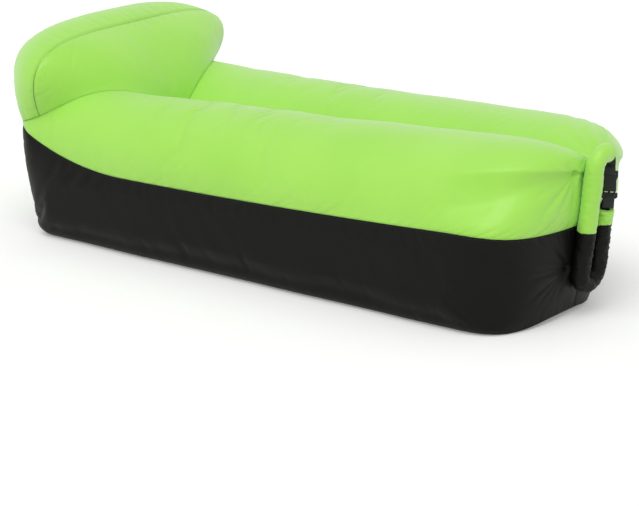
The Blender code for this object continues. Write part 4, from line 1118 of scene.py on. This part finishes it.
class AIR_LOUNGER_OT_headrest(bpy.types.Operator):
    """Build the headrest's front, band and back"""

    bl_idname = "air_lounger.headrest"
    bl_label = "Headrest"

    def execute(self, context):
        settings = context.scene.lounger_cloth
        seams = (True,) * 4
        across = close_ends(170, SEAM_CLOSE, SEAM_CLOSE, BODY_WIDTH)
        height = HEADREST_EDGE_TOP - CROWN_HEIGHT_HEAD
        u, v = pairs(across, close_ends(60, SEAM_CLOSE, SEAM_CLOSE, height))
        foot = front_bottom(u)
        even = np.linspace(0, 1, 401)
        near = np.exp(-((across[:, None] - even) / FACE_SPREAD) ** 2)
        level = near @ front_bottom(even) / near.sum(axis=1, keepdims=True)
        ends = 4 * across * (1 - across)
        level = foot[:, 0] + (level - foot[:, 0]) * (ends ** 0.5)[:, None]
        low = (1 - v)[..., None]
        points = patch(u, v, foot, True) + (level[:, None] - foot) * (low - low ** FACE_FADE)
        crown = HEADREST_FACE_CROWN * (4 * u * (1 - u)) ** CROWN_FADE_POWER * np.sin(math.pi * v)
        points[..., 0] += crown
        points[..., 2] += crown / 2
        grid = dress(points, 1, settings, 71, seams)
        front = cover("headrest_front", grid, 1, "lime", seams, settings)

        back_height = HEADREST_BACK_TOP - SEAM_HEIGHT_HEAD
        u, v = pairs(across, close_ends(60, SEAM_CLOSE, SEAM_CLOSE, back_height))
        points = patch(u, v, back_wall_point(2 * u - 1, 1 + 0 * u), False)
        crown = HEADREST_BACK_CROWN * (4 * u * (1 - u)) ** CROWN_FADE_POWER * np.sin(math.pi * v)
        points[..., 0] -= crown
        grid = dress(points, -1, settings, 101, seams)
        back = cover("headrest_back", grid, -1, "lime", seams, settings)

        rising = SHOULDER_SHARE * close_ends(44, SEAM_CLOSE, SEAM_CLOSE, height, 0)
        over = SHOULDER_SHARE + (1 - 2 * SHOULDER_SHARE) * across
        around = np.concatenate([rising, over[1:-1], 1 - rising[::-1]])
        depth = HEADREST_EDGE_X + HEADREST_BACK_X
        w, s = pairs(around, close_ends(40, SEAM_CLOSE, SEAM_CLOSE, depth))
        points = band_point(w, s)
        for side, nearness in ((-1, w), (1, 1 - w)):
            edge = foot_curve(HEADREST_SIDE_SHARE * (1 - s), side)
            start = band_point(np.full_like(w, 0.0 if side < 0 else 1.0), s)
            weight = np.clip(1 - nearness / SHOULDER_SHARE, 0, 1)[..., None] ** 2
            points = points + (edge - start) * weight
        grid = dress(points, 1, settings, 131, seams)
        band = cover("headrest_band", grid, 1, "lime", seams, settings)
        return {"FINISHED"}


class AIR_LOUNGER_OT_lower_covers(bpy.types.Operator):
    """Build the black side covers, the underside and the head wall"""

    bl_idname = "air_lounger.lower_covers"
    bl_label = "Lower covers"

    def execute(self, context):
        settings = context.scene.lounger_cloth
        edge = BASE_EDGE_RADIUS / SEAM_HEIGHT
        upper = edge + (1 - edge) * (1 - (1 - np.linspace(0, 1, 56)) ** 1.4)
        shares = np.concatenate([edge * np.linspace(0, 1, 10)[:-1] ** 1.5, upper])
        shares = shares * (1 - GAP / (2 * SEAM_HEIGHT))
        seams = (True, False, True, True)
        for name, side, seed, turn, creases in (("near_side", -1, 161, SPOT_TURN, LOW_CREASES),
                                                ("far_side", 1, 191, math.pi / 2, FAR_LOW_CREASES)):
            t, share = pairs(long_stations(settings.fineness, side), shares)
            grid = side_point(t * BODY_LENGTH, share, side)
            grid = dress(grid, -side, settings, seed, seams, (0.6, 1, 0.5, 1), (0, 0, 0, 1))
            spot = (LOW_SPOT[0], side * -LOW_SPOT[1], LOW_SPOT[2])

            def shape(points):
                return fan(points, -side, spot, turn, creases)
            made = cover(name, grid, -side, "black", seams, settings, shape)

        gap_share = CORNER_GAP / (BASE_WIDTH / 2)
        t, share = pairs(long_stations(200, -1), np.linspace(-1 + gap_share, 1 - gap_share, 60))
        x = t * BODY_LENGTH
        points = bottom_point(x, share)
        points[..., 0] -= FOOT_GAP * along(x) ** FOOT_LEAN_POWER
        points[..., 0] += CORNER_GAP * np.clip(1 - x / HEAD_CORNER_RADIUS, 0, 1)
        seams = (True,) * 4
        made = cloth_object("bottom_cover", points, -1, finish("black_coated_taffeta"), seams)
        keep(finished(made, CLOTH), "black_polyester", "bottom_panel")

        shares[0] = CORNER_GAP ** 2 / (2 * BASE_EDGE_RADIUS) / SEAM_HEIGHT_HEAD
        gap_share = CORNER_GAP / (BASE_WIDTH / 2 - HEAD_CORNER_RADIUS)
        across, share = pairs(np.linspace(-1 + gap_share, 1 - gap_share, 100), shares)
        grid = dress(back_wall_point(across, share), -1, settings, 221, seams, (0.5, 0.5, 0.5, 1))
        made = cover("back_wall", grid, -1, "black", seams, settings)
        return {"FINISHED"}


class AIR_LOUNGER_OT_rolled_mouth(bpy.types.Operator):
    """Build the rolled mouth in its three colour stretches"""

    bl_idname = "air_lounger.rolled_mouth"
    bl_label = "Rolled mouth"

    def execute(self, context):
        profile = spiral_profile()
        colours = ("lime", "black", "lime")
        for (name, folds), colour, path in zip(ROLL_FOLDS.items(), colours, ring_stretches()):
            material = finish(colour + "_coated_taffeta")
            made = sweep("rolled_cover_" + name, path, (1, 0, 0), profile, material)
            crumple(made, *ROLL_BENDS, 300, (1, 1, 0.7))
            crumple(made, *folds, 310, (1, 1, 1.4), 2.0)
            keep(made, colour + "_polyester", "rolled_mouth_" + name)
        return {"FINISHED"}


class AIR_LOUNGER_OT_webbing(bpy.types.Operator):
    """Build the two lengths of webbing"""

    bl_idname = "air_lounger.webbing"
    bl_label = "Webbing"

    def execute(self, context):
        black = finish("black_polypropylene_webbing")
        line = upper_line()
        loop, rise = line[:LOOP_POINTS], line[LOOP_POINTS - 1:]
        keep(strap("upper_strap_loop", loop, black), "black_webbing", body="socket")
        upper = strap("upper_strap", rise, black)
        keep(upper, "black_webbing", "upper_webbing")
        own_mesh(upper)
        keep(strap("lower_strap", lower_line(), black), "black_webbing", "lower_webbing")
        return {"FINISHED"}


class AIR_LOUNGER_OT_buckle(bpy.types.Operator):
    """Give the buckle its moulded finish"""

    bl_idname = "air_lounger.buckle"
    bl_label = "Buckle"

    def execute(self, context):
        acetal = finish("black_acetal")
        for node in ("buckle_socket", "buckle_plug", "near_plug_arm", "far_plug_arm"):
            give_finish(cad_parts[node], acetal)
        return {"FINISHED"}


def stitch_tree():
    """Geometry Nodes tree that sews stitches along a line of points."""
    tree = bpy.data.node_groups.new("stitch_row", "GeometryNodeTree")
    tree.interface.new_socket("Line", in_out="INPUT", socket_type="NodeSocketGeometry")
    sizes = [tree.interface.new_socket(name, in_out="INPUT", socket_type="NodeSocketFloat")
             for name in ("Pitch", "Stitch length", "Thread thickness")]
    thread = tree.interface.new_socket("Thread", in_out="INPUT", socket_type="NodeSocketMaterial")
    tree.interface.new_socket("Stitches", in_out="OUTPUT", socket_type="NodeSocketGeometry")
    given = add(tree, "NodeGroupInput")
    line = add(tree, "GeometryNodeMeshToCurve", {"Mesh": given["Line"]})
    marks = add(tree, "GeometryNodeResampleCurve", {"Curve": line["Curve"], "Length": given["Pitch"]},
                mode="LENGTH")
    along_line = add(tree, "GeometryNodeInputTangent")
    lie = add(tree, "FunctionNodeAlignRotationToVector", {"Vector": along_line["Tangent"]}, axis="X")
    long, thick = [add(tree, "ShaderNodeMath", {0: given[name]}, {1: 0.5}, operation="MULTIPLY")
                   for name in ("Stitch length", "Thread thickness")]
    size = add(tree, "ShaderNodeCombineXYZ", {"X": long[0], "Y": thick[0], "Z": thick[0]})
    stitch = add(tree, "GeometryNodeMeshUVSphere", None, {"Segments": 6, "Rings": 4, "Radius": 1.0})
    sewn = add(tree, "GeometryNodeInstanceOnPoints",
               {"Points": marks["Curve"], "Instance": stitch["Mesh"],
                "Rotation": lie["Rotation"], "Scale": size["Vector"]})
    real = add(tree, "GeometryNodeRealizeInstances", {"Geometry": sewn["Instances"]})
    dyed = add(tree, "GeometryNodeSetMaterial",
               {"Geometry": real["Geometry"], "Material": given["Thread"]})
    add(tree, "NodeGroupOutput", {"Stitches": dyed["Geometry"]})
    return tree, [socket.identifier for socket in sizes], thread.identifier


def beside(name, edge, distance, lift=THREAD / 3):
    """Line beside one edge of a finished cover, lifted a little off its outer face."""
    points, facing = SEWN[name]
    lifted = points + grid_normals(points) * (facing * lift)
    if edge > 1:
        lifted = lifted.transpose(1, 0, 2)
    if edge % 2:
        lifted = lifted[::-1]
    reach = run(lifted)
    return np.array([[np.interp(distance, reach[:, j], lifted[:, j, k]) for k in range(3)]
                     for j in range(lifted.shape[1])])


def even_line(line, count):
    """The same line with a number of points in even steps."""
    reach = run(line)
    marks = np.linspace(0, reach[-1], count)
    return np.stack([np.interp(marks, reach, line[:, k]) for k in range(3)], -1)


class AIR_LOUNGER_OT_stitches(bpy.types.Operator):
    """Sew the rows of stitches beside the seams"""

    bl_idname = "air_lounger.stitches"
    bl_label = "Stitches"

    def execute(self, context):
        tree, sizes, thread = stitch_tree()
        for colour, rows in STITCH_ROWS.items():
            points, edges = [], []
            for part, edge, distance in rows:
                for name in [name for name in SEWN if part in name]:
                    line = beside(name, edge, distance) + ORIGIN
                    start = len(points)
                    points.extend(line.tolist())
                    edges.extend((i, i + 1) for i in range(start, len(points) - 1))
            mesh = bpy.data.meshes.new(colour + "_stitches")
            mesh.from_pydata(points, edges, [])
            made = add_object(mesh.name, mesh)
            sew = made.modifiers.new("Stitches", "NODES")
            sew.node_group = tree
            for key, value in zip(sizes, (STITCH_PITCH, STITCH_LENGTH, THREAD)):
                sew[key] = value
            sew[thread] = finish(colour + "_sewing_thread")
            keep(finished(made), colour + "_polyester")
        return {"FINISHED"}


class AIR_LOUNGER_OT_inside(bpy.types.Operator):
    """Lay the seam tapes under the covers, and give the bags and the web their finishes"""

    bl_idname = "air_lounger.inside"
    bl_label = "Inside"

    def execute(self, context):
        white = finish("white_woven_tape")
        tube_arc = math.pi * (CROWN_HEIGHT_HEAD - WIDEST_HEIGHT)
        for name, side in (("near", -1), ("far", 1)):
            x = (long_stations(160, side)[12:-30] * BODY_LENGTH)[:, None]
            zero, one = 0 * x, 1 + 0 * x
            below = 1 - TAPE_WIDTH / 2 / SEAM_HEIGHT
            inward = 1 - TAPE_WIDTH / 2 / (BASE_WIDTH / 2 - BASE_EDGE_RADIUS)
            upward = 0.1 * TAPE_WIDTH / SEAM_HEIGHT
            rows = {"side": (side_point(x, below * one, side), side_point(x, one, side),
                             top_point(x, TAPE_WIDTH / 2 / tube_arc * one, side)),
                    "bottom": (bottom_point(x, side * inward * one), side_point(x, zero, side),
                               side_point(x, upward * one, side))}
            for kind, lines in rows.items():
                grid = np.concatenate(lines, axis=1)
                grid = grid + grid_normals(grid) * (side * TAPE_DEPTH)
                made = cloth_object(f"{name}_{kind}_seam_strip", grid, -side, white, (False,) * 4)
                keep(finished(made, TAPE), "seam_tape", f"{name}_{kind}_seam_tape")
        left, top, right = [beside("headrest_front_cover", edge, BACKING_WIDTH, -BACKING_DEPTH)
                            for edge in (0, 3, 1)]
        seam, above = [beside("headrest_band_cover", 2, distance, -BACKING_DEPTH)
                       for distance in (0, BACKING_WIDTH)]
        below = np.concatenate([left, top, right[::-1]])
        grid = np.stack([even_line(line, 240) for line in (below, seam, above)], axis=1)
        lime = finish("lime_coated_taffeta")
        made = cloth_object("headrest_seam_backing", grid, 1, lime, (False,) * 4)
        keep(finished(made, TAPE), "lime_polyester")
        finishes = {"air_bag": "milky_polyethylene_film", "stiffener": "white_woven_tape",
                    "centre_web": "black_coated_taffeta"}
        for node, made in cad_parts.items():
            for part, finish_name in finishes.items():
                if part in node:
                    give_finish(made, finish(finish_name))
        return {"FINISHED"}


def looked_at(tree):
    """A factor that is 1 where the camera or a reflection looks at the floor or the sky."""
    ray = add(tree, "ShaderNodeLightPath")
    return add(tree, "ShaderNodeMath", {0: ray["Is Camera Ray"], 1: ray["Is Glossy Ray"]},
               operation="MAXIMUM")[0]


class AIR_LOUNGER_OT_stage(bpy.types.Operator):
    """Build the floor, the light and the camera"""

    bl_idname = "air_lounger.stage"
    bl_label = "Stage"

    def execute(self, context):
        look = context.scene.lounger_stage
        scene = context.scene
        mesh = bpy.data.meshes.new("floor")
        low, high = -FLOOR_REACH, FLOOR_REACH
        corners = [(low, low, 0), (high, low, 0), (high, high, 0), (low, high, 0)]
        mesh.from_pydata(corners, [], [(0, 1, 2, 3)])
        material = bpy.data.materials.new("pale_floor")
        material.use_nodes = True
        tree = material.node_tree
        for key, value in (("Base Color", FLOOR_COLOUR), ("Roughness", 0.9),
                           ("Specular IOR Level", 0.1), ("Emission Color", WHITE)):
            tree.nodes["Principled BSDF"].inputs[key].default_value = value
        glow = add(tree, "ShaderNodeMath", {0: looked_at(tree)}, {1: FLOOR_GLOW},
                   operation="MULTIPLY")
        plug(tree, glow[0], "Emission Strength")
        mesh.materials.append(material)
        floor = add_object("floor", mesh)

        scene.world = bpy.data.worlds.new("studio")
        scene.world.use_nodes = True
        tree = scene.world.node_tree
        strength = add(tree, "ShaderNodeMapRange", {"Value": looked_at(tree)},
                       {"To Min": look.world, "To Max": 1.0})
        sky = tree.nodes["Background"].inputs
        sky["Color"].default_value = WHITE
        tree.links.new(strength["Result"], sky["Strength"])

        key = add_object("key_lamp", bpy.data.lights.new("key_lamp", "SUN"))
        key.data.energy = look.key
        key.data.angle = LAMP_SPREAD
        key.rotation_euler = LAMP_TILTS

        level = math.cos(look.tilt)
        right = Vector((math.cos(look.turn), math.sin(look.turn), 0))
        back = Vector((right.y * level, -right.x * level, math.sin(look.tilt)))
        camera = add_object("camera", bpy.data.cameras.new("camera"))
        camera.matrix_world = Matrix((right, back.cross(right), back)).transposed().to_4x4()
        camera.location = CAMERA_TARGET + back * look.distance
        camera.data.sensor_width = SENSOR_WIDTH
        camera.data.lens = LENS_PIXELS / PICTURE_WIDTH * SENSOR_WIDTH
        camera.data.shift_y = SHIFT_PIXELS / PICTURE_WIDTH
        scene.camera = camera
        scene.view_settings.view_transform = "Standard"
        return {"FINISHED"}


OPERATORS = (AIR_LOUNGER_OT_top_covers, AIR_LOUNGER_OT_headrest, AIR_LOUNGER_OT_lower_covers,
             AIR_LOUNGER_OT_rolled_mouth, AIR_LOUNGER_OT_webbing, AIR_LOUNGER_OT_buckle,
             AIR_LOUNGER_OT_stitches, AIR_LOUNGER_OT_inside, AIR_LOUNGER_OT_stage)
SETTINGS = {"lounger_cloth": LoungerCloth, "lounger_finish": LoungerFinish,
            "lounger_stage": LoungerStage}


class AIR_LOUNGER_PT_build(bpy.types.Panel):
    """Settings and steps of the air lounger"""

    bl_label = "Air lounger"
    bl_idname = "AIR_LOUNGER_PT_build"
    bl_space_type = "VIEW_3D"
    bl_region_type = "UI"
    bl_category = "Air lounger"

    def draw(self, context):
        for name, group in SETTINGS.items():
            box = self.layout.box()
            box.label(text=group.__doc__)
            for key in group.__annotations__:
                box.prop(getattr(context.scene, name), key)
        for operator in OPERATORS:
            self.layout.operator(operator.bl_idname)


CLASSES = (*SETTINGS.values(), *OPERATORS, AIR_LOUNGER_PT_build)


def register():
    """Register the classes and hang the settings on the scene."""
    for item in CLASSES:
        bpy.utils.register_class(item)
    for name, group in SETTINGS.items():
        setattr(bpy.types.Scene, name, PointerProperty(type=group))


def unregister():
    """Take the settings and the classes away again."""
    for name in SETTINGS:
        delattr(bpy.types.Scene, name)
    for item in reversed(CLASSES):
        bpy.utils.unregister_class(item)


def main():
    """Build every piece in order."""
    register()
    for operator in OPERATORS:
        getattr(bpy.ops.air_lounger, operator.bl_idname.split(".")[1])()


if __name__ == "__main__":
    main()
